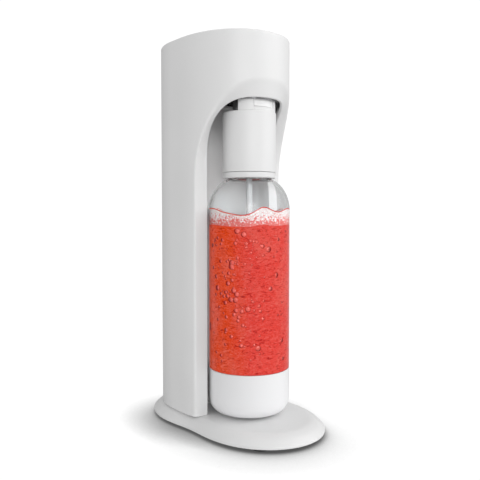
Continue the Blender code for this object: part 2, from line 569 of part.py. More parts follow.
# ---------------------------------------------------------------- infuser
def build_infuser():
    r, low, seam, top = INFUSER_RADIUS, INFUSER_BOTTOM, INFUSER_SEAM, INFUSER_TOP
    wall, waist, bore = 0.0024, CAP_WAIST, 0.0052
    shell = [(0.0180, top - 0.0006), (r - 0.0014, top - 0.0006), (r - 0.0004, top - 0.0012), (r, top - 0.0026),
             (r, seam + 0.0004), (r - wall, seam + 0.0004), (r - wall, top - 0.0035), (0.0180, top - 0.0035)]
    turned("infuser_shell", shell, WHITE)
    turned("infuser_ring", [(r - wall, seam), (r - 0.0003, seam), (r - 0.0003, low + 0.0016),
                            (r - 0.0016, low), (0.0240, low), (0.0240, low + 0.0022),
                            (r - wall, low + 0.0022)], WHITE)
    cap = turned("infuser_cap", [(bore, CAP_TOP), (CAP_RADIUS - 0.0015, CAP_TOP),
                                 (CAP_RADIUS, CAP_TOP - 0.0015), (CAP_RADIUS, 0.3550), (waist, 0.3545),
                                 (waist, top), (bore, top)], DARK)
    bore_place = (0.0, AXIS_Y, STEM_Z)
    cut(cap, turned_across("stem_bore", rod(0.0019, 0.0080, 0.03), None, bore_place, (pi / 2, 0.0, 0.0), 16))
    inner, outer, chamfer = waist + 0.0011, COLLAR_RADIUS, 0.0008
    collar = turned("infuser_collar", [(inner, COLLAR_TOP), (outer - chamfer, COLLAR_TOP),
                                       (outer, COLLAR_TOP - chamfer), (outer, top), (inner, top)], WHITE)
    front = block("collar_front", (-0.05, AXIS_Y - 0.05, 0.30), (0.05, AXIS_Y - 0.0118, 0.40), None)
    combine(collar, front, "INTERSECT")
    core = [(0.0036, 0.3330), (0.0120, 0.3330), (0.0120, 0.3120), (0.0205, 0.3060), (0.0205, low + 0.0026),
            (NECK_RADIUS + 0.0010, low + 0.0026), (NECK_RADIUS + 0.0010, NECK_TOP + 0.0030),
            (0.0036, NECK_TOP + 0.0030)]
    turned("infuser_insert", core, WHITE_INNER)
    turned("bottle_seal", ring(0.0062, NECK_RADIUS + 0.0004, NECK_TOP + GAP, NECK_TOP + 0.0025), RUBBER, steps=24)
    turned("gas_wand", ring(0.0012, WAND_RADIUS, WAND_BOTTOM, 0.3310), CLEAR, steps=20)
    seat = WAND_BOTTOM - GAP
    turned("wand_tip", [(0.0036, 0.1240), (0.0050, 0.1232), (0.0050, 0.1130), (0.0034, 0.1108),
                        (0.0010, 0.1108), (0.0010, seat), (0.0036, seat)], WHITE, steps=20)
    turned("inlet_stem", ring(0.0014, 0.0024, 0.3440, 0.3540), STEEL, steps=16)
    return collar


def build_release(collar):
    """The flap on the front of the collar that lets the pressure out, its pin, and the stem behind it."""
    low, high = 0.3400, COLLAR_TOP
    hinge = (0.0, FLAP_HINGE_Y, FLAP_HINGE_Z)
    half = FLAP_HALF + 0.0004
    cut(collar, block("flap_notch", (-half, -0.1, low), (half, AXIS_Y, 0.37), None))
    cut(collar, turned_across("flap_pin_bore", rod(0.00112, -0.0165, 0.0165), None, hinge, steps=16))
    flap = turned("release_lever", ring(FLAP_INNER, FLAP_OUTER, low + 0.0004, high), WHITE)
    keep = block("flap_keep", (-FLAP_HALF, -0.1, 0.33), (FLAP_HALF, FLAP_HINGE_Y + 0.0019, 0.37), None)
    combine(flap, keep, "INTERSECT")
    cut(flap, turned_across("flap_bore", rod(0.00104, -0.0165, 0.0165), None, hinge, steps=16))
    turned_across("release_lever_pin", rod(0.0009, -0.0159, 0.0159), STEEL, hinge, steps=16)
    tip = FLAP_INNER - 0.0006
    stem = [(0.0, tip), (0.0016, tip), (0.0016, 0.0095), (0.0, 0.0095)]
    turned_across("release_stem", stem, STEEL, (0.0, AXIS_Y, STEM_Z), (pi / 2, 0.0, 0.0), 16)


# ---------------------------------------------------------------- bottle
def build_bottle():
    r, wall, shoulder = BOTTLE_RADIUS, BOTTLE_WALL, BOTTLE_SHOULDER
    arc = quarter_round(NECK_RADIUS, r, shoulder, NECK_BOTTOM, 7)
    inner_low = r - 0.0030
    outer = [(NECK_RADIUS - 0.0022, NECK_TOP), (NECK_RADIUS, NECK_TOP)] + arc
    low = BOTTLE_BOTTOM
    outer += [(r, CUP_TOP + GAP), (inner_low, CUP_TOP + GAP), (inner_low, low + 0.016),
              (inner_low - 0.006, low + 0.004), (inner_low - 0.016, low), (0.0, low)]
    inside = [(0.0, low + wall), (inner_low - 0.017, low + wall), (inner_low - 0.0072, low + 0.0052),
              (inner_low - wall, low + 0.0165), (inner_low - wall, CUP_TOP + 0.0010),
              (r - wall, CUP_TOP + 0.0035)]
    squeeze = (r - wall - NECK_RADIUS + 0.0022) / (r - NECK_RADIUS)
    inside += [(NECK_RADIUS - 0.0022 + (x - NECK_RADIUS) * squeeze, z - wall) for x, z in reversed(arc)]
    vessel("bottle_body", outer + inside, CLEAR, (0.0, AXIS_Y), 30)
    cup_inner, low = inner_low + GAP, CUP_BOTTOM
    outside = [(cup_inner, CUP_TOP), (r + 0.0002, CUP_TOP), (r + 0.0002, low + 0.020),
               (r - 0.0012, low + 0.011), (r - 0.0055, low + 0.0040), (r - 0.0120, low + 0.0006),
               (r - 0.0160, low), (0.0, low)]
    hollow = [(0.0, low + 0.0025), (r - 0.0165, low + 0.0025), (r - 0.0125, low + 0.0045),
              (r - 0.0075, low + 0.0075), (cup_inner, low + 0.020)]
    vessel("base_cup", outside + hollow, WHITE, (0.0, AXIS_Y), 30)


# ---------------------------------------------------------------- assembly
base_plate = build_base()
build_feet()
front_housing = build_housing()
build_base_screws(base_plate, front_housing)
build_rear_cover()
build_top_cover()
build_button()
build_lever()
build_cylinder()
build_valve()
build_pipework()
build_dock()
infuser_collar = build_infuser()
build_release(infuser_collar)
build_bottle()
hang("release_hinge", (0.0, FLAP_HINGE_Y, FLAP_HINGE_Z), [bpy.data.objects["release_lever"]])
tilting = ("dock_carrier", "gas_nozzle", "nozzle_seal", "infuser_shell", "infuser_ring", "infuser_cap",
           "infuser_collar", "infuser_insert", "bottle_seal", "gas_wand", "wand_tip", "inlet_stem",
           "release_lever_pin", "release_stem", "bottle_body", "base_cup", "release_hinge")
hang("dock_pivot", (0.0, AXIS_Y, PIVOT_Z), [bpy.data.objects[name] for name in tilting])
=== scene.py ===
# %% [markdown]
# # A soda carbonator, dressed
# The machine is a white plastic tower on an egg-shaped foot. Its head reaches forward over an arched bay, and
# in the bay a clear bottle of red drink hangs from a white infuser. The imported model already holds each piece
# at its true size; this lesson gives the visible ones their fine surface and every piece its finish.

# %% Load the frame
import json
from math import atan2, cos, pi, sin, tau

import bmesh
import bpy
import numpy as np
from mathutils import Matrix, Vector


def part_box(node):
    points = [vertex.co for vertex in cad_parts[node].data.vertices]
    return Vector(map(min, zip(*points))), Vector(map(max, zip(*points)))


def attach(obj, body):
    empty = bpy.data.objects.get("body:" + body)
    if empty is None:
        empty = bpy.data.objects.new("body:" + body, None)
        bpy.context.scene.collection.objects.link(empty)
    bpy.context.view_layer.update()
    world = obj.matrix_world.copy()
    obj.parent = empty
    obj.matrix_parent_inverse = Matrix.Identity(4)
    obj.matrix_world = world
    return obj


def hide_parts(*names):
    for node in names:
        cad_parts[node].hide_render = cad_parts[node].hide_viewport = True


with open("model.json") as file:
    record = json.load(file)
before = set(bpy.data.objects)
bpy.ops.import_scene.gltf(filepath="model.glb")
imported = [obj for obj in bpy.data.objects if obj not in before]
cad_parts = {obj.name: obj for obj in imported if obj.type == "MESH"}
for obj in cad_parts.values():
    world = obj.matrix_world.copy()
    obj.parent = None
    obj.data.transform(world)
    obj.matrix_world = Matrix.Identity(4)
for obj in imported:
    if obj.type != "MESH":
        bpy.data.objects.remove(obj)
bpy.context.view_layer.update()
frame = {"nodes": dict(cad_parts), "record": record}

# %% [markdown]
# ## Where things are
# The frame is the ruler. The boxes of its nodes give each piece's place, so nothing here is measured twice;
# only the curves that a box cannot say (how square the tower is, how the arch bends) are named again.

# %% Places taken from the frame
shell_low, shell_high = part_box("front_housing")
cup_low, cup_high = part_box("base_cup")
AXIS_Y = (cup_low.y + cup_high.y) / 2
TOWER_HALF = shell_high.x
TOWER_LOW, TOWER_TOP = shell_low.z, shell_high.z
FRONT_Y = shell_low.y
SEAM_Y = shell_high.y
FRONT_SPRING_Y, FRONT_POWER = 0.0187, 2.15
BACK_SPRING_Y, BACK_DEPTH = 0.0355, 0.0675
WALL = 0.003
BAND = {"half": 0.0590, "spring": 0.250, "top": 0.3663, "power": 3.1}
BAY = {"half": 0.0436, "spring": 0.290, "top": 0.3485, "power": 4.6}
RIM_Y, RIM_DEPTH = -0.0060, 0.0488
BAY_SIDE_Y, BAY_BACK_Y, BAY_BACK_HALF = 0.0135, 0.0245, 0.036
LIP = 0.002
print("bottle axis at y", round(AXIS_Y, 4), "tower", round(2 * TOWER_HALF, 4), "wide,", round(TOWER_TOP, 4),
      "tall")

# %% [markdown]
# ## The camera
# A long lens about two thirds of a metre away, a little above the middle and turned well to the left of the
# front, so that the plain side and the open bay both show.

# %% Camera
EYE_DISTANCE, EYE_TURN, EYE_HEIGHT = 0.663926, 0.68971, 0.2328
LOOK_TURN, LOOK_DOWN = 0.67478, 0.04757
lens = bpy.data.cameras.new("eye")
lens.sensor_width = 36.0
lens.lens = 46.18
lens.clip_start = 0.01
eye = bpy.data.objects.new("eye", lens)
eye.location = (-EYE_DISTANCE * sin(EYE_TURN), AXIS_Y - EYE_DISTANCE * cos(EYE_TURN), EYE_HEIGHT)
eye.rotation_euler = (pi / 2 - LOOK_DOWN, 0.0, -LOOK_TURN)
bpy.context.scene.collection.objects.link(eye)
bpy.context.scene.camera = eye
print("camera at", [round(v, 4) for v in eye.location])

# %% [markdown]
# ## Small effects as node groups
# Four effects come back in many finishes: the fine grain that a moulding tool leaves, the faint smears that
# hands leave, the dust that settles on faces turned up, and the fine lines of turned or drawn metal. Each is
# a node group built once. A group takes the place on the piece and a few numbers, and gives out heights and
# masks only; the shader itself stays in each material.

# %% Node group helpers
def new_group(name, inputs, outputs):
    """An empty node group with float or vector sockets by name; gives the tree and its two end nodes."""
    tree = bpy.data.node_groups.new(name, "ShaderNodeTree")
    for label, kind, value in inputs:
        socket = tree.interface.new_socket(label, in_out="INPUT", socket_type=f"NodeSocket{kind}")
        if value is not None:
            socket.default_value = value
    for label in outputs:
        tree.interface.new_socket(label, in_out="OUTPUT", socket_type="NodeSocketFloat")
    return tree, tree.nodes.new("NodeGroupInput"), tree.nodes.new("NodeGroupOutput")


def noise(tree, place, scale, detail=2.0, distortion=0.0):
    """A noise texture read at place; scale is a number or a socket."""
    node = tree.nodes.new("ShaderNodeTexNoise")
    tree.links.new(place, node.inputs["Vector"])
    if isinstance(scale, float):
        node.inputs["Scale"].default_value = scale
    else:
        tree.links.new(scale, node.inputs["Scale"])
    node.inputs["Detail"].default_value = detail
    node.inputs["Distortion"].default_value = distortion
    return node.outputs["Fac"]


def between(tree, value, low, high, to_low=0.0, to_high=1.0):
    """Maps a value from one span to another, held at the ends."""
    node = tree.nodes.new("ShaderNodeMapRange")
    tree.links.new(value, node.inputs["Value"])
    for label, number in (("From Min", low), ("From Max", high), ("To Min", to_low), ("To Max", to_high)):
        node.inputs[label].default_value = number
    return node.outputs["Result"]


def maths(tree, operation, first, second):
    """One Math node; either side may be a number."""
    node = tree.nodes.new("ShaderNodeMath")
    node.operation = operation
    for socket, value in zip(node.inputs, (first, second)):
        if isinstance(value, float):
            socket.default_value = value
        else:
            tree.links.new(value, socket)
    return node.outputs["Value"]


def stretched(tree, place, scale):
    """The place with each axis stretched by its own number."""
    node = tree.nodes.new("ShaderNodeMapping")
    node.inputs["Scale"].default_value = scale
    tree.links.new(place, node.inputs["Vector"])
    return node.outputs["Vector"]


print("helpers for node trees ready")

# %% The four groups
grain, ends, out = new_group("moulded_grain", [("Place", "Vector", None), ("Size", "Float", 1500.0)],
                             ["Height", "Tone"])
fine = noise(grain, ends.outputs["Place"], ends.outputs["Size"], 3.0)
slow = noise(grain, ends.outputs["Place"], 11.0, 2.0, 0.4)
grain.links.new(fine, out.inputs["Height"])
grain.links.new(between(grain, slow, 0.35, 0.65), out.inputs["Tone"])

marks, ends, out = new_group("hand_marks", [("Place", "Vector", None), ("Amount", "Float", 0.1)], ["Rougher"])
smear = noise(marks, ends.outputs["Place"], 26.0, 5.0, 1.2)
smeared = between(marks, smear, 0.52, 0.70)
marks.links.new(maths(marks, "MULTIPLY", smeared, ends.outputs["Amount"]), out.inputs["Rougher"])

dust, ends, out = new_group("settled_dust", [("Place", "Vector", None), ("Facing", "Vector", None),
                                             ("Amount", "Float", 0.2)], ["Mask"])
parts_of = dust.nodes.new("ShaderNodeSeparateXYZ")
dust.links.new(ends.outputs["Facing"], parts_of.inputs["Vector"])
upward = between(dust, parts_of.outputs["Z"], 0.55, 1.0)
patchy = between(dust, noise(dust, ends.outputs["Place"], 60.0, 4.0), 0.40, 0.75, 0.25, 1.0)
settled = maths(dust, "MULTIPLY", upward, patchy)
dust.links.new(maths(dust, "MULTIPLY", settled, ends.outputs["Amount"]), out.inputs["Mask"])

lines, ends, out = new_group("drawn_lines", [("Place", "Vector", None), ("Size", "Float", 1.0)],
                             ["Height", "Rougher"])
drawn = noise(lines, ends.outputs["Place"], ends.outputs["Size"], 2.0)
lines.links.new(drawn, out.inputs["Height"])
lines.links.new(between(lines, drawn, 0.3, 0.7, -0.06, 0.06), out.inputs["Rougher"])
print("node groups:", [tree.name for tree in (grain, marks, dust, lines)])

# %% [markdown]
# ## White moulded plastic
# The casing is a satin white plastic with a very fine grain from the mould, a slow change of tone that only
# shows along big faces, faint smears where it is touched, and a trace of dust on faces that look up. One
# function makes every plastic, so white, dark and clear parts share the same make-up with other numbers.

# %% Plastic
def start_material(name, color, roughness, metallic=0.0):
    """A new material; gives it with its tree, its shader and the piece's own Object coordinates."""
    made = bpy.data.materials.new(name)
    made.use_nodes = True
    tree = made.node_tree
    shader = tree.nodes["Principled BSDF"]
    shader.inputs["Base Color"].default_value = (*color, 1.0)
    shader.inputs["Roughness"].default_value = roughness
    shader.inputs["Metallic"].default_value = metallic
    made.diffuse_color = (*color, 1.0)
    place = tree.nodes.new("ShaderNodeTexCoord").outputs["Object"]
    return made, tree, shader, place


def use_group(tree, group, place, **values):
    """Places a node group, feeds it the coordinates and sets its numbers."""
    node = tree.nodes.new("ShaderNodeGroup")
    node.node_tree = group
    tree.links.new(place, node.inputs["Place"])
    for label, value in values.items():
        node.inputs[label].default_value = value
    return node


def raise_bump(tree, shader, height, strength, distance):
    """Feeds a height into the shader's normal through a Bump node."""
    bump = tree.nodes.new("ShaderNodeBump")
    bump.inputs["Strength"].default_value = strength
    bump.inputs["Distance"].default_value = distance
    tree.links.new(height, bump.inputs["Height"])
    tree.links.new(bump.outputs["Normal"], shader.inputs["Normal"])


def tint(tree, factor, first, second):
    """Mixes two colours, or a colour socket and a colour, by a factor."""
    node = tree.nodes.new("ShaderNodeMix")
    node.data_type = "RGBA"
    tree.links.new(factor, node.inputs["Factor"])
    for socket, value in ((node.inputs[6], first), (node.inputs[7], second)):
        if isinstance(value, tuple):
            socket.default_value = (*value, 1.0)
        else:
            tree.links.new(value, socket)
    return node.outputs[2]


def plastic(name, color, roughness, size=1500.0, depth=0.00002, smears=0.08, dusty=0.15, shift=0.03):
    """Moulded plastic: colour with a slow change of tone and dust, roughness with smears, a fine grain."""
    made, tree, shader, place = start_material(name, color, roughness)
    skin = use_group(tree, grain, place, Size=size)
    hands = use_group(tree, marks, place, Amount=smears)
    top = use_group(tree, dust, place, Amount=dusty)
    facing = tree.nodes.new("ShaderNodeNewGeometry").outputs["Normal"]
    tree.links.new(facing, top.inputs["Facing"])
    pale = tuple(min(1.0, c * (1 + shift)) for c in color)
    deep = tuple(c * (1 - shift) for c in color)
    body = tint(tree, skin.outputs["Tone"], deep, pale)
    dusted = tint(tree, top.outputs["Mask"], body, (0.60, 0.58, 0.55))
    tree.links.new(dusted, shader.inputs["Base Color"])
    rough = maths(tree, "ADD", hands.outputs["Rougher"], roughness)
    rough = maths(tree, "ADD", rough, top.outputs["Mask"])
    tree.links.new(rough, shader.inputs["Roughness"])
    shader.inputs["Specular IOR Level"].default_value = 0.45
    raise_bump(tree, shader, skin.outputs["Height"], 0.35, depth)
    return made


WHITE = plastic("satin_white_plastic", (0.82, 0.82, 0.82), 0.42, smears=0.06, dusty=0.03, shift=0.012)
CUP_WHITE = plastic("gloss_white_plastic", (0.87, 0.87, 0.88), 0.30, depth=0.00001, dusty=0.02, shift=0.01)
TAB_WHITE = plastic("bright_white_plastic", (0.95, 0.95, 0.95), 0.35, smears=0.04, dusty=0.0, shift=0.005)
INNER_WHITE = plastic("inner_white_plastic", (0.66, 0.66, 0.65), 0.55, dusty=0.1)
DARK = plastic("dark_grey_plastic", (0.19, 0.19, 0.193), 0.55, dusty=0.05, shift=0.1)
NYLON = plastic("nylon_pipe", (0.06, 0.06, 0.065), 0.35, size=900.0, dusty=0.05, shift=0.1)
MILKY = plastic("milky_tube", (0.62, 0.64, 0.65), 0.25, size=700.0, dusty=0.0)
print("plastics:", WHITE.name, CUP_WHITE.name, INNER_WHITE.name, DARK.name, NYLON.name, MILKY.name)

# %% [markdown]
# ## Metals and rubber
# Drawn and turned metal shows fine lines, and a noise stretched hard along one axis gives them: across the
# height for turned pieces, along the length for plates. Plated trim is the same with hardly any line. Rubber
# is matt, with a coarse bloom that greys it unevenly.

# %% Metals and rubber
def metal(name, color, roughness, stretch, depth=0.000015):
    """Bare or plated metal with fine lines that run across the stretched axis."""
    made, tree, shader, place = start_material(name, color, roughness, 1.0)
    drawn_in = use_group(tree, lines, stretched(tree, place, stretch), Size=1.0)
    hands = use_group(tree, marks, place, Amount=0.12)
    rough = maths(tree, "ADD", drawn_in.outputs["Rougher"], hands.outputs["Rougher"])
    tree.links.new(maths(tree, "ADD", rough, roughness), shader.inputs["Roughness"])
    body = tint(tree, hands.outputs["Rougher"], color, tuple(c * 0.8 for c in color))
    tree.links.new(body, shader.inputs["Base Color"])
    raise_bump(tree, shader, drawn_in.outputs["Height"], 0.3, depth)
    return made


TURNED_LINES, PLATE_LINES = (60.0, 60.0, 3000.0), (3000.0, 60.0, 60.0)
CHROME = metal("smoked_plated_trim", (0.24, 0.24, 0.25), 0.22, TURNED_LINES, 0.000004)
STEEL = metal("zinc_plated_steel", (0.52, 0.53, 0.55), 0.32, PLATE_LINES)
BRASS = metal("turned_brass", (0.70, 0.52, 0.25), 0.26, TURNED_LINES)
ALUMINIUM = metal("satin_aluminium", (0.70, 0.71, 0.72), 0.34, TURNED_LINES)

RUBBER, tree, shader, place = start_material("black_rubber", (0.028, 0.028, 0.030), 0.78)
bloom = use_group(tree, grain, place, Size=420.0)
tree.links.new(tint(tree, bloom.outputs["Tone"], (0.020, 0.020, 0.021), (0.048, 0.047, 0.046)),
               shader.inputs["Base Color"])
tree.links.new(between(tree, bloom.outputs["Tone"], 0.0, 1.0, 0.70, 0.88), shader.inputs["Roughness"])
raise_bump(tree, shader, bloom.outputs["Height"], 0.5, 0.00005)
print("metals:", CHROME.name, STEEL.name, BRASS.name, ALUMINIUM.name, "and", RUBBER.name)

# %% [markdown]
# ## Clear blown plastic
# The bottle's wall is clear and slightly wavy from blowing. Real glass in a path tracer keeps lamps from
# reaching what is behind it, so for shadow rays the shader steps aside to a plain transparent one.

# %% Clear bottle
CLEAR, tree, shader, place = start_material("clear_blown_plastic", (0.992, 0.998, 1.0), 0.02)
shader.inputs["Transmission Weight"].default_value = 1.0
shader.inputs["IOR"].default_value = 1.22
blown = noise(tree, stretched(tree, place, (22.0, 22.0, 9.0)), 1.0, 2.0)
raise_bump(tree, shader, blown, 0.25, 0.0006)
scuffs = use_group(tree, marks, place, Amount=0.05)
tree.links.new(maths(tree, "ADD", scuffs.outputs["Rougher"], 0.015), shader.inputs["Roughness"])
through = tree.nodes.new("ShaderNodeBsdfTransparent")
through.inputs["Color"].default_value = (0.97, 0.985, 0.99, 1.0)
choose = tree.nodes.new("ShaderNodeMixShader")
tree.links.new(tree.nodes.new("ShaderNodeLightPath").outputs["Is Shadow Ray"], choose.inputs["Fac"])
tree.links.new(shader.outputs["BSDF"], choose.inputs[1])
tree.links.new(through.outputs["BSDF"], choose.inputs[2])
tree.links.new(choose.outputs["Shader"], tree.nodes["Material Output"].inputs["Surface"])
print("clear:", CLEAR.name)

# %% [markdown]
# ## Surfaces from grids
# Every new piece is a grid of points worked out as whole arrays: one parameter runs along the rows and one
# along the columns, and each cell of the grid becomes a four-sided face. Points that meet at a seam or a pole
# are merged, and then the faces are turned to look outwards. Corners are eased by a short curve, because no
# moulded or turned edge is perfectly sharp.

# %% Grid helpers
def sheet_faces(rows, columns, start=0, wrap=False):
    """Corner numbers of the cells of a rows x columns grid whose first point has number start."""
    index = start + np.arange(rows * columns).reshape(rows, columns)
    if wrap:
        index = np.hstack([index, index[:, :1]])
    return np.stack([index[:-1, :-1], index[:-1, 1:], index[1:, 1:], index[1:, :-1]], axis=-1).reshape(-1, 4)


def piece(name, sheets, finish, body, stands_for=(), wrap=False, sharp=0.7):
    """One closed piece from grids of points [row, column, xyz] that share their edges.

    Doubles are merged, faces turned outwards, and the shading evened over big flat faces.
    """
    points = np.concatenate([sheet.reshape(-1, 3) for sheet in sheets])
    starts = np.cumsum([0] + [sheet.shape[0] * sheet.shape[1] for sheet in sheets[:-1]])
    faces = np.concatenate([sheet_faces(*s.shape[:2], start, wrap) for s, start in zip(sheets, starts)])
    mesh = bpy.data.meshes.new(name)
    mesh.from_pydata(points, [], faces)
    shape = bmesh.new()
    shape.from_mesh(mesh)
    bmesh.ops.remove_doubles(shape, verts=shape.verts, dist=0.000002)
    bmesh.ops.dissolve_degenerate(shape, edges=shape.edges, dist=0.0000005)
    bmesh.ops.delete(shape, geom=[edge for edge in shape.edges if edge.is_wire], context="EDGES")
    bmesh.ops.recalc_face_normals(shape, faces=shape.faces)
    loose = sum(not edge.is_manifold for edge in shape.edges)
    shape.to_mesh(mesh)
    shape.free()
    mesh.materials.append(finish)
    mesh.shade_smooth()
    mesh.set_sharp_from_angle(angle=sharp)
    made = bpy.data.objects.new(name, mesh)
    bpy.context.scene.collection.objects.link(made)
    even = made.modifiers.new("Even shading", "WEIGHTED_NORMAL")
    even.keep_sharp = True
    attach(made, body)
    if stands_for:
        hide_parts(*stands_for)
    print(f"{name}: {len(mesh.polygons)} faces, {loose} open edges")
    return made


def eased(corners, ease, steps=4, closed=False):
    """A path through corners with each one rounded by a quadratic curve.

    Between the points at distance e before and after a corner C, the curve is
    (1-t)^2 A + 2t(1-t) C + t^2 B; e is at most 0.45 of either side. ease is a number or one per corner.
    """
    corners = [np.array(corner, float) for corner in corners]
    count = len(corners)
    eases = [ease] * count if isinstance(ease, float) else ease
    t = np.linspace(0.0, 1.0, steps + 1)[:, None]
    path = []
    for i, corner in enumerate(corners):
        if not closed and i in (0, count - 1):
            path.append(corner[None])
            continue
        before, after = corners[i - 1] - corner, corners[(i + 1) % count] - corner
        reach_before, reach_after = np.linalg.norm(before), np.linalg.norm(after)
        e = min(eases[i], 0.45 * reach_before, 0.45 * reach_after)
        a, b = corner + before * e / reach_before, corner + after * e / reach_after
        path.append((1 - t) ** 2 * a + 2 * t * (1 - t) * corner + t**2 * b)
    return np.concatenate(path)


def spun(profile, place=(0.0, AXIS_Y), columns=128, closed=False):
    """A grid of an (r, z) profile carried round the vertical: x = r sin a, y = -r cos a, z = z."""
    profile = np.vstack([profile, profile[:1]]) if closed else np.asarray(profile)
    a = np.linspace(0.0, tau, columns, endpoint=False)
    r, z = profile[:, :1], profile[:, 1:]
    return np.stack([place[0] + r * np.sin(a), place[1] - r * np.cos(a), z + 0 * a], axis=-1)


def turned(name, corners, ease, finish, body, slot=None, stands_for=(), closed=True, **more):
    """A turned piece: eased (r, z) corners, spun; closed joins the profile's ends, as on a ring."""
    place, columns = more.get("place", (0.0, AXIS_Y)), more.get("columns", 128)
    profile = eased(corners, ease, more.get("steps", 4), closed)
    return piece(name, [spun(profile, place, columns, closed)], finish, body, stands_for, wrap=True)


print("grid helpers ready")

# %% [markdown]
# ## The tower's outline
# In plan the tower is a slightly squared oval in front, two short straight sides and a half ellipse behind.
# To work on its wall as if it were flat paper, the outline is measured along its length: a place on the wall
# is a length from the front middle and a height, and a third number moves it straight into the wall.

# %% Outline by length
def half_outline(samples=3000):
    """Points of the right half of the outline, from the front middle to the back middle.

    Front: x = half sin^(2/p) a, y = spring - depth cos^(2/p) a; then a straight side; then a quarter ellipse.
    """
    a = np.linspace(0.0, pi / 2, samples)
    front = np.stack([TOWER_HALF * np.sin(a) ** (2 / FRONT_POWER),
                      FRONT_SPRING_Y - (FRONT_SPRING_Y - FRONT_Y) * np.cos(a) ** (2 / FRONT_POWER)], axis=1)
    back = np.stack([TOWER_HALF * np.cos(a), BACK_SPRING_Y + BACK_DEPTH * np.sin(a)], axis=1)
    side = np.stack([np.full(200, TOWER_HALF), np.linspace(FRONT_SPRING_Y, BACK_SPRING_Y, 200)], axis=1)
    return np.vstack([front, side[1:-1], back])


OUTLINE = half_outline()
STEPS_ALONG = np.diff(OUTLINE, axis=0)
LENGTHS = np.concatenate([[0.0], np.cumsum(np.linalg.norm(STEPS_ALONG, axis=1))])
TANGENTS = np.vstack([STEPS_ALONG[:1], STEPS_ALONG]) / np.maximum(
    np.linalg.norm(np.vstack([STEPS_ALONG[:1], STEPS_ALONG]), axis=1), 1e-12)[:, None]
SEAM = float(np.interp(SEAM_Y, OUTLINE[-3000:, 1], LENGTHS[-3000:]))


def on_wall(length, z, inward=0.0):
    """The point at a length from the front middle (left is negative) and a height, moved into the wall."""
    away = np.abs(length)
    side = np.where(np.asarray(length) < 0, -1.0, 1.0)
    x, y = np.interp(away, LENGTHS, OUTLINE[:, 0]), np.interp(away, LENGTHS, OUTLINE[:, 1])
    tx, ty = np.interp(away, LENGTHS, TANGENTS[:, 0]), np.interp(away, LENGTHS, TANGENTS[:, 1])
    long = np.hypot(tx, ty)
    x, y = x - inward * ty / long, y + inward * tx / long
    return np.stack([side * x, y, z + 0 * x], axis=-1)


def length_at(x):
    """The length along the outline's front at which it reaches x."""
    front = OUTLINE[:3000]
    return np.sign(x) * np.interp(np.abs(x), front[:, 0], LENGTHS[:3000])


print("half way round is", round(LENGTHS[-1], 4), "and the seam is at", round(SEAM, 4))

# %% [markdown]
# ## The tower shell
# The front shell is one moulding: the outer wall, a soft-edged band that turns in round the arch, and the
# bay's own walls behind it. One grid holds all of it. Its columns run along the arch, from the foot of the
# left leg over the top to the foot of the right one, and its rows run from the shell's own edge across the
# wall, round the band and into the bay. A second, plainer grid makes the inside, and the two share their
# edges, so that the shell has a true thickness.

# %% Arch columns
LEG_COLUMNS, ARCH_COLUMNS = 14, 60
CORNER_COLUMN = 30


def arch_columns(arch, grow=0.0):
    """(x, z) of an arch at every column: straight legs, then x = h cos^(2/p) a, z = s + (t - s) sin^(2/p) a.

    The angle a is spaced by a cosine, which keeps the columns even where the curve is squarest.
    """
    legs = np.linspace(TOWER_LOW, arch["spring"], LEG_COLUMNS, endpoint=False)
    a = pi / 4 * (1 - np.cos(np.linspace(0.0, pi, ARCH_COLUMNS + 1)))
    x = (arch["half"] + grow) * np.abs(np.cos(a)) ** (2 / arch["power"])
    z = arch["spring"] + (arch["top"] + grow - arch["spring"]) * np.sin(a) ** (2 / arch["power"])
    x[-1] = 0.0
    half = np.stack([np.concatenate([np.full(LEG_COLUMNS, arch["half"] + grow), x]),
                     np.concatenate([legs, z])], axis=1)
    left = half * (-1, 1)
    return np.vstack([left, half[-2::-1]])


def edge_columns():
    """(length, z) on the shell's own edge at every column: up the rear seam, then along the top."""
    legs = np.linspace(TOWER_LOW, BAND["spring"], LEG_COLUMNS, endpoint=False)
    up = np.linspace(BAND["spring"], TOWER_TOP, CORNER_COLUMN + 1)
    along = np.linspace(SEAM, 0.0, ARCH_COLUMNS - CORNER_COLUMN + 1)[1:]
    length = np.concatenate([np.full(LEG_COLUMNS + CORNER_COLUMN + 1, SEAM), along])
    z = np.concatenate([legs, up, np.full(len(along), TOWER_TOP)])
    half = np.stack([length, z], axis=1)
    return np.vstack([half * (-1, 1), half[-2::-1]])


def towards(start, end, distance):
    """The points at a distance from start on the way to end."""
    way = end - start
    return start + way * (distance / np.maximum(np.linalg.norm(way, axis=-1), 1e-9))[..., None]


def spread(start, end, count, last=True):
    """count rows in even steps from start to end."""
    t = np.linspace(0.0, 1.0, count, endpoint=last)[:, None, None]
    return start + (end - start) * t


def bend(start, corner, end, steps):
    """Rows of a quadratic curve from start to end that is pulled to the corner."""
    t = np.linspace(0.0, 1.0, steps + 1)[:, None, None]
    return (1 - t) ** 2 * start + 2 * t * (1 - t) * corner + t**2 * end


outer_arch, inner_arch = arch_columns(BAND), arch_columns(BAY)
edge = edge_columns()
print("columns along the arch:", len(edge))

# %% Outer grid of the tower shell
BAND_SOFT, RIM_SOFT, TOP_SOFT, SEAM_SOFT, CORNER_SOFT = 0.0032, 0.0010, 0.0024, 0.0006, 0.003
arch_on_wall = np.stack([length_at(outer_arch[:, 0]), outer_arch[:, 1]], axis=1)


def bay_rim_y(x, half=BAY["half"]):
    """How far forward the bay's rim stands at x: a half ellipse in plan."""
    return RIM_Y - RIM_DEPTH * np.sqrt(np.clip(1 - (x / half) ** 2, 0.0, None))


def bay_points(arch, y, half=None):
    """The arch's columns as points at depth y; half narrows or widens it."""
    x = arch[:, 0] * (1.0 if half is None else half / BAY["half"])
    return np.stack([x, y + 0 * x, arch[:, 1]], axis=1)


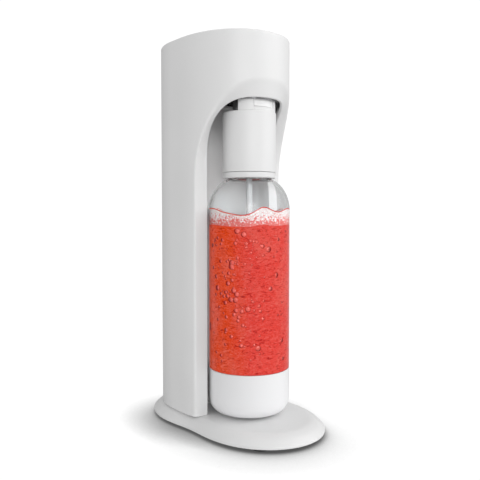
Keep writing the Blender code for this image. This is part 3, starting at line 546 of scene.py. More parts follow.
def outer_sheet():
    """Rows: over the edge, across the wall, round the band's soft edge, the band, the rim, the bay."""
    on_top = edge[:, 1] >= TOWER_TOP - 1e-6
    soft = np.where(on_top, TOP_SOFT, SEAM_SOFT)
    near_edge = towards(edge, arch_on_wall, soft)
    near_arch = towards(arch_on_wall, edge, np.full(len(edge), BAND_SOFT))
    inside = on_wall(edge[:, 0], edge[:, 1], WALL)
    over = bend(on_wall(edge[:, 0], edge[:, 1], soft), on_wall(edge[:, 0], edge[:, 1]),
                on_wall(near_edge[:, 0], near_edge[:, 1]), 5)
    flat = spread(near_edge, near_arch, 42)
    wall = on_wall(flat[..., 0], flat[..., 1])
    corner = on_wall(arch_on_wall[:, 0], arch_on_wall[:, 1])
    rim = bay_points(inner_arch, bay_rim_y(inner_arch[:, 0]))
    side = bay_points(inner_arch, BAY_SIDE_Y)
    rear = bay_points(inner_arch, BAY_BACK_Y, BAY_BACK_HALF)
    middle = np.stack([0 * rear[:, 0], rear[:, 1], np.minimum(rear[:, 2], BAY["spring"])], axis=1)
    reach = np.full(len(edge), 1.0)
    band_start = towards(corner, rim, reach * BAND_SOFT)
    band_end = towards(rim, corner, reach * RIM_SOFT)
    rim_after = towards(rim, side, reach * RIM_SOFT)
    side_end = towards(side, rim, reach * CORNER_SOFT)
    side_after = towards(side, rear, reach * CORNER_SOFT)
    rear_before = towards(rear, side, reach * CORNER_SOFT)
    rear_after = towards(rear, middle, reach * CORNER_SOFT)
    return np.concatenate([
        inside[None], over, wall[1:-1],
        bend(wall[-1], corner, band_start, 8), spread(band_start, band_end, 7)[1:-1],
        bend(band_end, rim, rim_after, 5), spread(rim_after, side_end, 6)[1:-1],
        bend(side_end, side, side_after, 4), bend(rear_before, rear, rear_after, 4),
        spread(rear_after, middle, 9)[1:]])


outside = outer_sheet()
print("outer grid of the tower shell:", outside.shape)

# %% Inner grid, the foot of the shell and the mouth
def outward(path):
    """Unit normals of a path in its own plane, pointing away from the bay."""
    way = np.gradient(path, axis=0)
    normal = np.stack([-way[:, 1], way[:, 0]], axis=1)
    return normal / np.linalg.norm(normal, axis=1)[:, None]


def inner_sheet(rows):
    """The inside of the shell: the same course one wall's thickness behind the outer grid."""
    wall_arch = arch_on_wall + 0.0036 * outward(arch_on_wall)
    bay_arch = inner_arch + WALL * outward(inner_arch)
    flat = spread(edge, wall_arch, rows - 24)
    corner = on_wall(flat[..., 0], flat[..., 1], WALL)
    rim = bay_points(bay_arch, bay_rim_y(inner_arch[:, 0]) + WALL)
    side = bay_points(bay_arch, BAY_SIDE_Y + WALL)
    rear = bay_points(bay_arch, BAY_BACK_Y + WALL, BAY_BACK_HALF)
    middle = np.stack([0 * rear[:, 0], rear[:, 1], np.minimum(rear[:, 2], BAY["spring"])], axis=1)
    return np.concatenate([corner, spread(corner[-1], rim, 7)[1:], spread(rim, side, 7)[1:],
                           spread(side, rear, 7)[1:], spread(rear, middle, 7)[1:]])


inside = inner_sheet(len(outside))
feet_of_shell = [np.stack([outside[:, end], inside[:, end]]) for end in (0, -1)]
tower_shell = piece("tower_shell", [outside, inside, *feet_of_shell], WHITE, "frame",
                    ["front_housing"])


def cut_away(made, cutter_points, solver):
    """Cuts a prism, given as its two end outlines, out of a piece, and keeps the result as its mesh."""
    rows = np.concatenate([cutter_points.mean(axis=1, keepdims=True).repeat(cutter_points.shape[1], 1)[:1],
                           cutter_points,
                           cutter_points.mean(axis=1, keepdims=True).repeat(cutter_points.shape[1], 1)[-1:]])
    mesh = bpy.data.meshes.new("cutter")
    mesh.from_pydata(rows.reshape(-1, 3), [], sheet_faces(rows.shape[0], rows.shape[1], 0, True))
    shape = bmesh.new()
    shape.from_mesh(mesh)
    bmesh.ops.remove_doubles(shape, verts=shape.verts, dist=0.000001)
    bmesh.ops.recalc_face_normals(shape, faces=shape.faces)
    shape.to_mesh(mesh)
    shape.free()
    cutter = bpy.data.objects.new("cutter", mesh)
    bpy.context.scene.collection.objects.link(cutter)
    step = made.modifiers.new("Cut", "BOOLEAN")
    step.operation, step.solver, step.object = "DIFFERENCE", solver, cutter
    made.modifiers.move(len(made.modifiers) - 1, 0)
    made.modifiers["Even shading"].show_viewport = False
    bpy.context.view_layer.update()
    result = bpy.data.meshes.new_from_object(made.evaluated_get(bpy.context.evaluated_depsgraph_get()))
    made.modifiers.remove(step)
    made.modifiers["Even shading"].show_viewport = True
    made.data = result
    bpy.data.objects.remove(cutter)
    result.set_sharp_from_angle(angle=0.7)
    print(f"{made.name}: {len(result.polygons)} faces after the cut")


def mouth_outline(inset, steps=72):
    """The bay's rim in plan, moved in by inset: a half ellipse in front, the bay's back corners behind."""
    a = np.linspace(0.0, pi, steps + 1)
    front = np.stack([(BAY["half"] - inset) * np.cos(a), RIM_Y - (RIM_DEPTH - inset) * np.sin(a)], axis=1)
    back = BAY_BACK_Y - inset
    rest = [(-BAY["half"] + inset, BAY_SIDE_Y), (-BAY_BACK_HALF + inset, back),
            (BAY_BACK_HALF - inset, back), (BAY["half"] - inset, BAY_SIDE_Y)]
    return np.vstack([front, rest])


mouth = mouth_outline(LIP)
MOUTH_LOW, MOUTH_HIGH = BAY["top"] - 0.02, BAY["top"] + 0.0245
levels = np.stack([np.column_stack([mouth, np.full(len(mouth), z)]) for z in (MOUTH_LOW, MOUTH_HIGH)])
cut_away(tower_shell, levels, "MANIFOLD")

# %% [markdown]
# ## The rear panel
# A curved panel closes the tower behind and carries the last of the flat top. It is the same wall, from seam
# to seam, turned over a soft edge at the top and run in level to the seam's straight line; the inside follows
# one wall's thickness in. Two pairs of snap tongues hold it to the shell.

# %% Rear panel
panel_low, panel_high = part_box("rear_cover")
PANEL_SEAM = SEAM + 0.0003


def panel_sheet(inset, top, soft):
    """Rows: up the wall, over the top edge by a quadratic curve, and level to the seam's line."""
    length = np.linspace(PANEL_SEAM, LENGTHS[-1], 61)
    away = np.concatenate([length, length[-2::-1]])
    flip = np.concatenate([np.ones(61), -np.ones(60)])
    def ring(z, inward):
        found = on_wall(away, z, inward)
        found[:, 0] *= flip
        return found
    wall = spread(ring(TOWER_LOW, inset), ring(top - soft, inset), 30)
    over = bend(ring(top - soft, inset), ring(top, inset), ring(top, inset + soft), 6)
    edge_row = over[-1]
    straight = edge_row.copy()
    straight[:, 1] = edge_row[0, 1]
    return np.concatenate([wall[:-1], over, spread(edge_row, straight, 10)[1:]])


skin, lining = panel_sheet(0.0, TOWER_TOP, TOP_SOFT), panel_sheet(WALL, TOWER_TOP - WALL, 0.001)
hem = np.stack([skin[0], lining[0]])
sides = [np.stack([skin[:, end], lining[:, end]]) for end in (0, -1)]
front_hem = np.stack([skin[-1], lining[-1]])
piece("rear_panel", [skin, lining, hem, front_hem, *sides], WHITE, "rear_panel", ["rear_cover"])


def rounded_block(low, high, power=0.25, rows=17, columns=24):
    """A grid of a rounded block: each axis is the centre + half size * sgn(c) |c|^power of a sphere's c."""
    a, b = np.linspace(-pi / 2, pi / 2, rows)[:, None], np.linspace(0.0, tau, columns, endpoint=False)
    parts = (np.cos(a) * np.cos(b), np.cos(a) * np.sin(b), np.sin(a) + 0 * b)
    shape = np.stack([np.sign(np.round(c, 9)) * np.abs(c) ** power for c in parts], axis=-1)
    low, high = np.array(low), np.array(high)
    return (low + high) / 2 + (high - low) / 2 * shape


TONGUE_HALF, TONGUE_RISE, TONGUE_REACH = 0.0012, 0.008, 0.006
for level, height in (("low", 0.060), ("high", 0.350)):
    for side_name, x in (("left", -0.040), ("right", 0.040)):
        grid = rounded_block((x - TONGUE_HALF, panel_low.y + 0.0001, height - TONGUE_RISE),
                             (x + TONGUE_HALF, SEAM_Y + TONGUE_REACH, height + TONGUE_RISE))
        piece(f"snap_tongue_{level}_{side_name}", [grid], WHITE, "rear_panel", wrap=True)

# %% [markdown]
# ## The lid and the button
# Inside the tower's top edge lies a flat lid with a round well, and in the well stands the button that works
# the gas. The lid is drawn as rays from the button's axis: along each ray one profile runs down the well, out
# under the floor, and back over the plate, stretched to reach the oval edge. The button is turned, with a
# shallow dish for a fingertip.

# %% Lid
lid_low, lid_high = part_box("top_cover")
button_low, button_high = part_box("carbonation_button")
BUTTON_RADIUS = (button_high.x - button_low.x) / 2
LID_UNDER = 0.4095
WELL, WELL_WALL, WELL_FLOOR, STEM_HOLE = BUTTON_RADIUS + 0.0007, 0.0272, 0.3985, 0.0052


def lid_reach(a):
    """How far the lid reaches from the button's axis along each ray, found by meeting its oval edge."""
    length = np.linspace(0.0, LENGTHS[-1], 1500)
    rim = on_wall(length, 0.0, WALL + 0.0003)
    rim = rim[rim[:, 1] < SEAM_Y - 0.001]
    turn, far = np.arctan2(rim[:, 0], -(rim[:, 1] - AXIS_Y)), np.hypot(rim[:, 0], rim[:, 1] - AXIS_Y)
    reach = np.interp(np.abs((a + pi) % tau - pi), turn, far)
    back = (SEAM_Y - 0.001 - AXIS_Y) / np.maximum(-np.cos(a), 1e-6)
    return np.where((-np.cos(a) > 0) & (back < reach * 1.5), np.minimum(reach, back), reach)


def lid_grid(columns=192):
    """The lid's profile on every ray; beyond the well its radii stretch to the oval edge."""
    a = np.linspace(0.0, tau, columns, endpoint=False)
    reach = lid_reach(a)
    far = 1.0
    corners = [(STEM_HOLE, WELL_FLOOR), (WELL, WELL_FLOOR), (WELL, lid_high.z), (far, lid_high.z),
               (far, LID_UNDER), (WELL_WALL, LID_UNDER), (WELL_WALL, lid_low.z), (STEM_HOLE, lid_low.z)]
    profile = eased(corners, [0.0004, 0.0006, 0.0006, 0.0006, 0.0003, 0.0008, 0.0008, 0.0003], 4, True)
    profile = np.vstack([profile, profile[:1]])
    r, z = profile[:, :1], profile[:, 1:]
    outer = r > 0.5
    radius = np.where(outer, reach + (r - far), r)
    return np.stack([radius * np.sin(a), AXIS_Y - radius * np.cos(a), z + 0 * a], axis=-1)


piece("lid", [lid_grid()], WHITE, "frame", ["top_cover"], wrap=True)

# %% Button
DISH = 0.0009
top = button_high.z
skirt_low, stem_low, stem = top - 0.0064, button_low.z, 0.0045
turned("press_button", [
    (0.0, top - DISH), (0.012, top - DISH * 0.55), (BUTTON_RADIUS - 0.003, top),
    (BUTTON_RADIUS, top - 0.0006),
    (BUTTON_RADIUS, skirt_low), (BUTTON_RADIUS - 0.002, skirt_low), (BUTTON_RADIUS - 0.002, top - 0.003),
    (stem, top - 0.003), (stem, stem_low), (0.0, stem_low)],
    [0.0, 0.006, 0.0015, 0.0018, 0.0004, 0.0004, 0.0006, 0.0010, 0.0004, 0.0],
    WHITE, "button", "white", ["carbonation_button"], closed=False, steps=6)

# %% [markdown]
# ## The base and its feet
# In plan the base is an egg: its radius is a short cosine series of the angle from the front. A skirt slopes
# from the flat top to a thin edge, and the plate stands a few millimetres clear of the table on ribbed rubber
# feet, which leaves the dark line under it.

# %% Base
base_low, base_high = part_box("base_plate")
EGG_SHIFT, EGG_TERMS = 0.0032, (0.0902, 0.0008, 0.0229, 0.0024)
base_section = eased(
    [(1.0, base_high.z), (0.0150, base_high.z), (0.0068, 0.0116), (0.0, 0.0056), (0.0, base_low.z),
     (0.0040, base_low.z), (0.0040, 0.0056), (0.0110, 0.0090), (0.0170, base_high.z - WALL),
     (1.0, base_high.z - WALL)],
    [0.0, 0.0050, 0.0050, 0.0009, 0.0007, 0.0003, 0.0003, 0.0010, 0.0010, 0.0], 6)


def egg_grid(section, columns=192):
    """Each (inset, z) of the section on every ray of the egg; an inset of 1 means the middle."""
    a = np.linspace(0.0, tau, columns, endpoint=False)
    radius = sum(term * np.cos(k * a) for k, term in enumerate(EGG_TERMS))
    r = np.maximum(radius - section[:, :1], 0.0)
    return np.stack([-r * np.sin(a), EGG_SHIFT - r * np.cos(a), section[:, 1:] + 0 * a], axis=-1)


piece("base", [egg_grid(base_section)], WHITE, "frame", ["base_plate"], wrap=True)

# %% Feet
for number in range(1, 5):
    foot_low, foot_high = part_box(f"rubber_foot_{number}")
    middle = ((foot_low.x + foot_high.x) / 2, (foot_low.y + foot_high.y) / 2)
    r, up = (foot_high.x - foot_low.x) / 2, foot_high.z
    ribs = [(0.0, up), (r - 0.0004, up), (r, up - 0.0010), (r, 0.0007), (r - 0.0007, 0.0)]
    for groove in (0.0065, 0.0045, 0.0025):
        ribs += [(groove + 0.0004, 0.0), (groove, 0.0005), (groove - 0.0004, 0.0)]
    turned(f"foot_{number}", ribs + [(0.0, 0.0)], 0.0003, RUBBER, "frame", "rubber",
           [f"rubber_foot_{number}"], closed=False, place=middle, columns=64, steps=2)

# %% [markdown]
# ## The infuser
# The infuser is the white collar piece that screws on the bottle and clips into the head: a short shell with
# a screwed ring below, a dark cap above, a low fence round the cap's front, and a flap in the fence that lets
# the pressure out. The round ones are turned; the fence and the flap are a rounded section carried along part
# of a circle, with the section drawn in at both ends so that they end softly.

# %% Infuser shell, ring and cap
shell_box, ring_box, cap_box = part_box("infuser_shell"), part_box("infuser_ring"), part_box("infuser_cap")
r = (shell_box[1].x - shell_box[0].x) / 2
low, high = shell_box[0].z, shell_box[1].z
turned("infuser_casing", [(0.0180, high), (r, high), (r, low), (r - 0.0024, low), (r - 0.0024, high - 0.0029),
                          (0.0180, high - 0.0029)],
       [0.0004, 0.0014, 0.0005, 0.0003, 0.0006, 0.0003], WHITE, "dock", "white", ["infuser_shell"], steps=6)
low, high = ring_box[0].z, ring_box[1].z
turned("infuser_foot", [(r - 0.0024, high), (r - 0.0003, high), (r - 0.0003, low), (0.0240, low),
                        (0.0240, low + 0.0022), (r - 0.0024, low + 0.0022)],
       [0.0003, 0.0005, 0.0014, 0.0007, 0.0005, 0.0004], WHITE, "dock", "white", ["infuser_ring"], steps=6)
low, high = cap_box[0].z, cap_box[1].z
cap_radius, cap_waist = (cap_box[1].x - cap_box[0].x) / 2, 0.0178
turned("infuser_crown", [(0.0052, high), (cap_radius, high), (cap_radius, 0.3550), (cap_waist, 0.3545),
                         (cap_waist, low), (0.0052, low)],
       [0.0003, 0.0015, 0.0004, 0.0006, 0.0002, 0.0002], DARK, "dock", "dark", ["infuser_cap"])

# %% Fence, flap and clip
def arc_wall(inner, outer, low, high, start, end, soft, columns=64):
    """A rounded section carried along an arc about the bottle's axis, from angle start to end.

    Angles are from the front. Near the ends the section is clipped in by soft (1 - cos b) while it still
    advances by soft sin b, and it closes on its middle, so the ends are rounded too.
    """
    section = eased([(inner, low), (inner, high), (outer, high), (outer, low)], soft, 4, True)
    section = np.vstack([section, section[:1]])
    b = np.linspace(0.0, pi / 2, 5)
    mean = (inner + outer) / 2
    lead = soft / mean
    advance, ease_out = lead * (1 - np.sin(b)), soft * (1 - np.cos(b))
    angle = np.concatenate([[start], start + advance[::-1], np.linspace(start + lead, end - lead, columns),
                            end - advance, [end]])
    drawn_in = np.concatenate([[soft], ease_out[::-1], np.zeros(columns), ease_out, [soft]])
    keep = np.ones(len(angle))
    keep[[0, -1]] = 0.0
    middle = np.array([mean, (low + high) / 2])
    rz = np.clip(section[:, None], np.stack([inner + drawn_in, low + drawn_in], 1),
                 np.stack([outer - drawn_in, high - drawn_in], 1))
    rz = middle + (rz - middle) * keep[:, None]
    return np.stack([rz[..., 0] * np.sin(angle), AXIS_Y - rz[..., 0] * np.cos(angle), rz[..., 1]], axis=-1)


fence_box, flap_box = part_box("infuser_collar"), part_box("release_lever")
FENCE_INNER, FENCE_OUTER, FLAP_INNER, FLAP_OUTER = 0.0189, 0.0277, 0.0225, 0.0264
FENCE_TURN, FENCE_LEFT, FLAP_TURN = 1.22, 1.14, 0.50
NOTCH = FLAP_TURN + 0.012
fence_low, fence_high = fence_box[0].z - 0.0008, fence_box[1].z - 0.0010
for side_name, start, end in (("left", -FENCE_LEFT, -NOTCH), ("right", NOTCH, FENCE_TURN)):
    grid = arc_wall(FENCE_INNER, FENCE_OUTER, fence_low, fence_high, start, end, 0.0008, 24)
    made = piece(f"fence_{side_name}", [grid], WHITE, "dock")
    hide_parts("infuser_collar")
sill = arc_wall(FENCE_INNER, FENCE_OUTER, fence_low, flap_box[0].z - 0.0004, -NOTCH - 0.01, NOTCH + 0.01,
                0.0006, 24)
piece("fence_sill", [sill], WHITE, "dock")
flap = arc_wall(FLAP_INNER, FLAP_OUTER, flap_box[0].z, flap_box[1].z, -FLAP_TURN, FLAP_TURN, 0.0005, 48)
piece("pressure_flap", [flap], TAB_WHITE, "release_flap", ["release_lever"])

# %% [markdown]
# ## The dock
# Above the infuser the bay's roof is a dark plate with a round mouth, edged by a bright plated ring, and a
# dark carrier hangs in it. The plate is drawn as rays from the bottle's axis, like the lid: up in the cup,
# over it, down outside and out to the bay's outline. It is closed on top, so its profile ends on the axis.

# %% Dock ceiling and ring
dock_low, dock_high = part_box("dock_housing")
ring_low, ring_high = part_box("dock_ring")
MOUTH, CUP_OUTER = 0.0292, (ring_high.x - ring_low.x) / 2
PLATE_HIGH, RING_LOW, CUP_ROOF = dock_low.z + 0.0026, ring_low.z - 0.0007, 0.3768


def ceiling_grid(columns=192):
    """Rays from the axis: the cup's inside, the plate's underside, its edge on the bay's outline and back."""
    a = np.linspace(0.0, tau, columns, endpoint=False)
    plan = mouth_outline(LIP + 0.0003, 400)
    ends = np.vstack([plan, plan[:1]])
    fine = np.vstack([p + (q - p) * np.linspace(0, 1, 12)[:, None] for p, q in zip(ends[:-1], ends[1:])])
    turn, far = np.arctan2(fine[:, 0], -(fine[:, 1] - AXIS_Y)), np.hypot(fine[:, 0], fine[:, 1] - AXIS_Y)
    order = np.argsort(turn)
    reach = np.interp((a + pi) % tau - pi, turn[order], far[order], period=tau)
    profile = eased([(0.0, CUP_ROOF), (MOUTH, CUP_ROOF), (MOUTH, dock_low.z), (1.0, dock_low.z),
                     (1.0, PLATE_HIGH), (CUP_OUTER, PLATE_HIGH), (CUP_OUTER, dock_high.z),
                     (0.0, dock_high.z)],
                    [0.0, 0.001, 0.0005, 0.0005, 0.0005, 0.001, 0.001, 0.0], 4)
    r, z = profile[:, :1], profile[:, 1:]
    radius = np.where(r > 0.5, reach + (r - 1.0), r)
    return np.stack([radius * np.sin(a), AXIS_Y - radius * np.cos(a), z + 0 * a], axis=-1)


piece("bay_ceiling", [ceiling_grid()], DARK, "frame", ["dock_housing"], wrap=True)
turned("bright_ring", [(MOUTH + 0.0002, ring_high.z), (CUP_OUTER, ring_high.z), (CUP_OUTER, RING_LOW),
                       (MOUTH + 0.0002, RING_LOW)],
       [0.0002, 0.0003, 0.0007, 0.0005], CHROME, "frame", "chrome", ["dock_ring"])

# %% [markdown]
# ## The bottle
# A clear blown bottle: a thick neck with thread ridges, a round shoulder, a straight wall, and a foot that
# stands in a white cup. The wall is one closed profile, down the outside and up the inside, so light bends
# into and out of real plastic. The cup's foot is a long soft curve.

# %% Bottle wall
bottle_low, bottle_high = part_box("bottle_body")
R = (bottle_high.x - bottle_low.x) / 2
CUP_TOP = cup_high.z
NECK, NECK_LOW, SHOULDER, BLOWN = 0.0138, 0.2685, 0.2335, 0.0015
STEP_IN, FINE = 0.0030, 160


def shoulder_curve(radius, neck, low, high, steps):
    """A quarter ellipse from the neck down to the wall: r = n + (R - n) sin a, z = l + (h - l) cos a."""
    a = np.linspace(0.0, pi / 2, steps)
    return np.stack([neck + (radius - neck) * np.sin(a), low + (high - low) * np.cos(a)], axis=1)


def thread_ridges(low, high, count, radius, depth):
    """Ridges down the neck: r = radius - depth (1 - |cos|^0.5) along the height."""
    z = np.linspace(high, low, count * 10 + 1)
    wave = np.abs(np.cos(np.linspace(0.0, count * pi, len(z)))) ** 0.5
    return np.stack([radius - depth * wave, z], axis=1)


neck_out = thread_ridges(NECK_LOW + 0.004, bottle_high.z - 0.003, 4, NECK, 0.0012)
foot_radius = R - STEP_IN
outside_wall = np.vstack([
    [(NECK - 0.0022, bottle_high.z), (NECK - 0.0012, bottle_high.z)], neck_out,
    shoulder_curve(R, NECK, SHOULDER, NECK_LOW, 40),
    eased([(R, SHOULDER - 0.001), (R, CUP_TOP + 0.0003), (foot_radius, CUP_TOP + 0.0003),
           (foot_radius, bottle_low.z), (0.0, bottle_low.z)], [0.0, 0.0006, 0.0008, 0.016, 0.0], 8)])
inside_wall = np.vstack([
    eased([(0.0, bottle_low.z + BLOWN), (foot_radius - BLOWN, bottle_low.z + BLOWN),
           (foot_radius - BLOWN, CUP_TOP + 0.001), (R - BLOWN, CUP_TOP + 0.0035),
           (R - BLOWN, SHOULDER - 0.0025)], [0.0, 0.0145, 0.0008, 0.0008, 0.0], 8),
    shoulder_curve(R - BLOWN, NECK - 0.0022, SHOULDER - BLOWN, NECK_LOW - BLOWN, 40)[::-1]])
piece("bottle_wall", [spun(np.vstack([outside_wall, inside_wall]), columns=FINE, closed=True)], CLEAR,
      "bottle", ["bottle_body"], wrap=True)

# %% Base cup
cup_radius = (cup_high.x - cup_low.x) / 2
CUP_FOOT = cup_low.z - 0.0010
turned("bottle_cup", [(foot_radius + 0.0003, CUP_TOP), (cup_radius, CUP_TOP), (cup_radius, CUP_FOOT),
                      (0.0, CUP_FOOT), (0.0, CUP_FOOT + 0.0025), (cup_radius - 0.0085, CUP_FOOT + 0.0025),
                      (foot_radius + 0.0003, CUP_FOOT + 0.020)],
       [0.0004, 0.0006, 0.0175, 0.0, 0.0, 0.012, 0.004], CUP_WHITE, "bottle", "white", ["base_cup"],
       columns=FINE, steps=14)
turned("gas_tube", [(0.0012, 0.3310), (0.0032, 0.3310), (0.0032, 0.1200), (0.0012, 0.1200)], 0.0003, MILKY,
       "dock", "clear", ["gas_wand"], columns=40)

# %% [markdown]
# ## The drink
# The bottle is full of a red drink that has just been charged: its surface slops in low swells, foam hangs
# below it, and bubbles cling to the wall. The drink is turned from the bottle's own inside and reaches a hair
# into the wall, so that no thin air gap between the two mirrors the light;
# its top and the foam's top are heights over the plane, a sum of soft humps and hollows across the bottle.

# %% Drink and foam materials
LOOK_X, LOOK_Y = cos(LOOK_TURN), -sin(LOOK_TURN)
# The drink's emission is painted light: a glow that stands in for the light passing through the red drink, with
# the base colour dimmed by DRINK_SHARE to leave room for it.
DRINK_SHARE, DRINK_PAINTED_GLOW = 0.42, 0.42
DRINK, tree, shader, place = start_material("red_drink", (0.84, 0.05, 0.04), 0.5)
shader.inputs["Specular IOR Level"].default_value = 0.0
# Painted light: the drink's colour runs from orange on the camera's left to coral on its right, a gradient that
# stands in for how light passes through it, taken along the camera's sideways direction.
across = tree.nodes.new("ShaderNodeVectorMath")
across.operation = "DOT_PRODUCT"
tree.links.new(place, across.inputs[0])
across.inputs[1].default_value = (LOOK_X, LOOK_Y, 0.0)
wander = noise(tree, stretched(tree, place, (30.0, 30.0, 8.0)), 1.0, 3.0, 0.8)
shifted = maths(tree, "ADD", across.outputs["Value"], maths(tree, "MULTIPLY", wander, 0.022))
painted_light_side = between(tree, shifted, 0.002, 0.024)
deep = tint(tree, painted_light_side, (0.90, 0.070, 0.010), (0.90, 0.068, 0.052))
haze = noise(tree, stretched(tree, place, (45.0, 45.0, 20.0)), 1.0, 3.0, 1.0)
deep = tint(tree, between(tree, haze, 0.50, 0.72, 0.0, 0.45), deep, (0.92, 0.17, 0.13))
streaks = noise(tree, stretched(tree, place, (170.0, 170.0, 420.0)), 1.0, 4.0, 1.6)
body = tint(tree, between(tree, streaks, 0.50, 0.72, 0.0, 0.40), deep, (0.95, 0.26, 0.21))
body = tint(tree, between(tree, streaks, 0.45, 0.31, 0.0, 0.75), body, (0.42, 0.006, 0.006))

cast = between(tree, tree.nodes.new("ShaderNodeLightPath").outputs["Diffuse Depth"], 0.0, 1.0)
body = tint(tree, cast, body, (0.50, 0.46, 0.46))
dimmed = tree.nodes.new("ShaderNodeVectorMath")
dimmed.operation = "SCALE"
dimmed.inputs["Scale"].default_value = DRINK_SHARE
tree.links.new(body, dimmed.inputs[0])
tree.links.new(dimmed.outputs["Vector"], shader.inputs["Base Color"])
tree.links.new(body, shader.inputs["Emission Color"])
shader.inputs["Emission Strength"].default_value = DRINK_PAINTED_GLOW
raise_bump(tree, shader, streaks, 0.25, 0.0005)

FOAM, tree, shader, place = start_material("pale_foam", (0.92, 0.92, 0.92), 0.45)
height_of = tree.nodes.new("ShaderNodeSeparateXYZ")
tree.links.new(place, height_of.inputs["Vector"])
speck = noise(tree, place, 620.0, 3.0)
thicker = between(tree, height_of.outputs["Z"], 0.2330, 0.2170, -0.14, 0.22)
red = between(tree, maths(tree, "ADD", speck, thicker), 0.52, 0.60)
rings = tree.nodes.new("ShaderNodeTexVoronoi")
rings.feature = "DISTANCE_TO_EDGE"
rings.inputs["Scale"].default_value = 420.0
tree.links.new(place, rings.inputs["Vector"])
films = between(tree, rings.outputs["Distance"], 0.02, 0.12)
pale = tint(tree, films, (0.80, 0.60, 0.58), (0.94, 0.93, 0.93))
stained = tint(tree, maths(tree, "MULTIPLY", red, 0.85), pale, (0.80, 0.07, 0.05))
tree.links.new(stained, shader.inputs["Base Color"])
raise_bump(tree, shader, films, 0.4, 0.0003)

BUBBLE, tree, shader, place = start_material("bubble_skin", (0.92, 0.28, 0.22), 0.12)
# Painted light on the bubbles: a dark rim where they turn edge-on stands in for light bent at their edges, and
# an emission glow like the drink's stands in for light passing through them.
edge_on = tree.nodes.new("ShaderNodeLayerWeight")
edge_on.inputs["Blend"].default_value = 0.5
rim = between(tree, edge_on.outputs["Facing"], 0.03, 0.22)
painted_rim_and_glow_color = tint(tree, rim, (0.62, 0.085, 0.065), (0.16, 0.002, 0.002))
tree.links.new(painted_rim_and_glow_color, shader.inputs["Base Color"])
tree.links.new(painted_rim_and_glow_color, shader.inputs["Emission Color"])
shader.inputs["Emission Strength"].default_value = 0.45
print("drink finishes:", DRINK.name, FOAM.name, BUBBLE.name)

# %% Drink and foam
SWELLS = ((-0.037, 0.0045, 0.008), (-0.008, -0.0035, 0.014), (0.014, 0.0050, 0.009), (0.038, 0.0040, 0.006))
SURFACE, FOAM_FOOT, INTO_WALL = 0.2310, 0.2170, 0.0006
DRINK_RADIUS = R - BLOWN + INTO_WALL
DRINK_FOOT, DRINK_NARROW = bottle_low.z + BLOWN + 0.0004, foot_radius - BLOWN - 0.0004


def swell(x, y):
    """The surface's height: each hump is h exp(-((d - d0)/w)^2), d being the distance across the bottle."""
    d = x * LOOK_X + (y - AXIS_Y) * LOOK_Y
    along = x * LOOK_Y - (y - AXIS_Y) * LOOK_X
    humps = sum(h * np.exp(-(((d - at) / w) ** 2)) for at, h, w in SWELLS)
    return humps + 0.0006 * np.sin(along * 190.0)


def filled(side, top_height, rows):
    """A spun body of an (r, z) side, closed on top by a disc of rings at the given height over the plane."""
    walls = spun(side, columns=FINE)
    rings = np.linspace(side[-1][0], 0.0, rows)
    cover = spun(np.column_stack([rings, np.zeros(rows)]), columns=FINE)
    cover[..., 2] = top_height(cover[..., 0], cover[..., 1])
    walls[-1] = cover[0]
    return np.concatenate([walls, cover[1:]])


drink_side = np.vstack([
    eased([(0.0, DRINK_FOOT), (DRINK_NARROW, DRINK_FOOT), (DRINK_NARROW, CUP_TOP + 0.0009),
           (DRINK_RADIUS, CUP_TOP + 0.0009)],
          [0.0, 0.014, 0.0002, 0.0], 8),
    np.column_stack([np.full(30, DRINK_RADIUS), np.linspace(CUP_TOP + 0.003, FOAM_FOOT - 0.002, 30)]),
    [(DRINK_RADIUS, FOAM_FOOT)]])


def drink_top(x, y):
    """The clear drink ends below the foam in a shallow uneven plane."""
    return FOAM_FOOT + 0.25 * swell(x, y)


def foam_top(x, y):
    """The foam ends in the swells themselves."""
    return SURFACE + swell(x, y)


piece("drink", [filled(drink_side, drink_top, 30)], DRINK, "bottle", wrap=True)
foam_rings = np.linspace(0.0, DRINK_RADIUS, 30)
foam_under = spun(np.column_stack([foam_rings, np.zeros(30)]), columns=FINE)
foam_under[..., 2] = drink_top(foam_under[..., 0], foam_under[..., 1]) + 0.0002
foam_over = foam_under[::-1].copy()
foam_over[..., 2] = foam_top(foam_over[..., 0], foam_over[..., 1])
foam_wall = foam_under[-1] + (foam_over[0] - foam_under[-1]) * np.linspace(0.0, 1.0, 12)[:, None, None]
piece("foam", [np.concatenate([foam_under, foam_wall[1:-1], foam_over])], FOAM, "bottle", wrap=True)

# %% Surface film, bubbles and froth
def film_grid(thick=0.00035, columns=FINE):
    """A thin ring of drink that clings to the wall where the surface meets it."""
    a = np.linspace(0.0, tau, columns, endpoint=False)
    b = np.linspace(0.0, tau, 13)[:, None]
    r = DRINK_RADIUS + 0.0003 + thick * np.cos(b)
    x, y = r * np.sin(a), AXIS_Y - r * np.cos(a)
    edge_x, edge_y = DRINK_RADIUS * np.sin(a), AXIS_Y - DRINK_RADIUS * np.cos(a)
    return np.stack([x, y, foam_top(edge_x, edge_y) + 1.4 * thick * np.sin(b)], axis=-1)


piece("surface_film", [film_grid()], DRINK, "bottle", wrap=True)


def beads(centres, sizes, flat):
    """Small ball grids at (angle, height) places on the drink's wall, flattened along the radius."""
    a, b = np.linspace(-pi / 2, pi / 2, 6)[:, None], np.linspace(0.0, tau, 8, endpoint=False)
    ball = np.stack([np.cos(a) * np.cos(b), np.cos(a) * np.sin(b), np.sin(a) + 0 * b], axis=-1)
    grids = []
    for (angle, z), size in zip(centres, sizes):
        deep = size * flat
        out = np.array([sin(angle), -cos(angle), 0.0])
        along = np.array([cos(angle), sin(angle), 0.0])
        middle = np.array([0.0, AXIS_Y, z]) + out * DRINK_RADIUS
        grids.append(middle + ball[..., :1] * out * deep + ball[..., 1:2] * along * size
                     + ball[..., 2:] * np.array([0.0, 0.0, 1.0]) * size)
    return grids


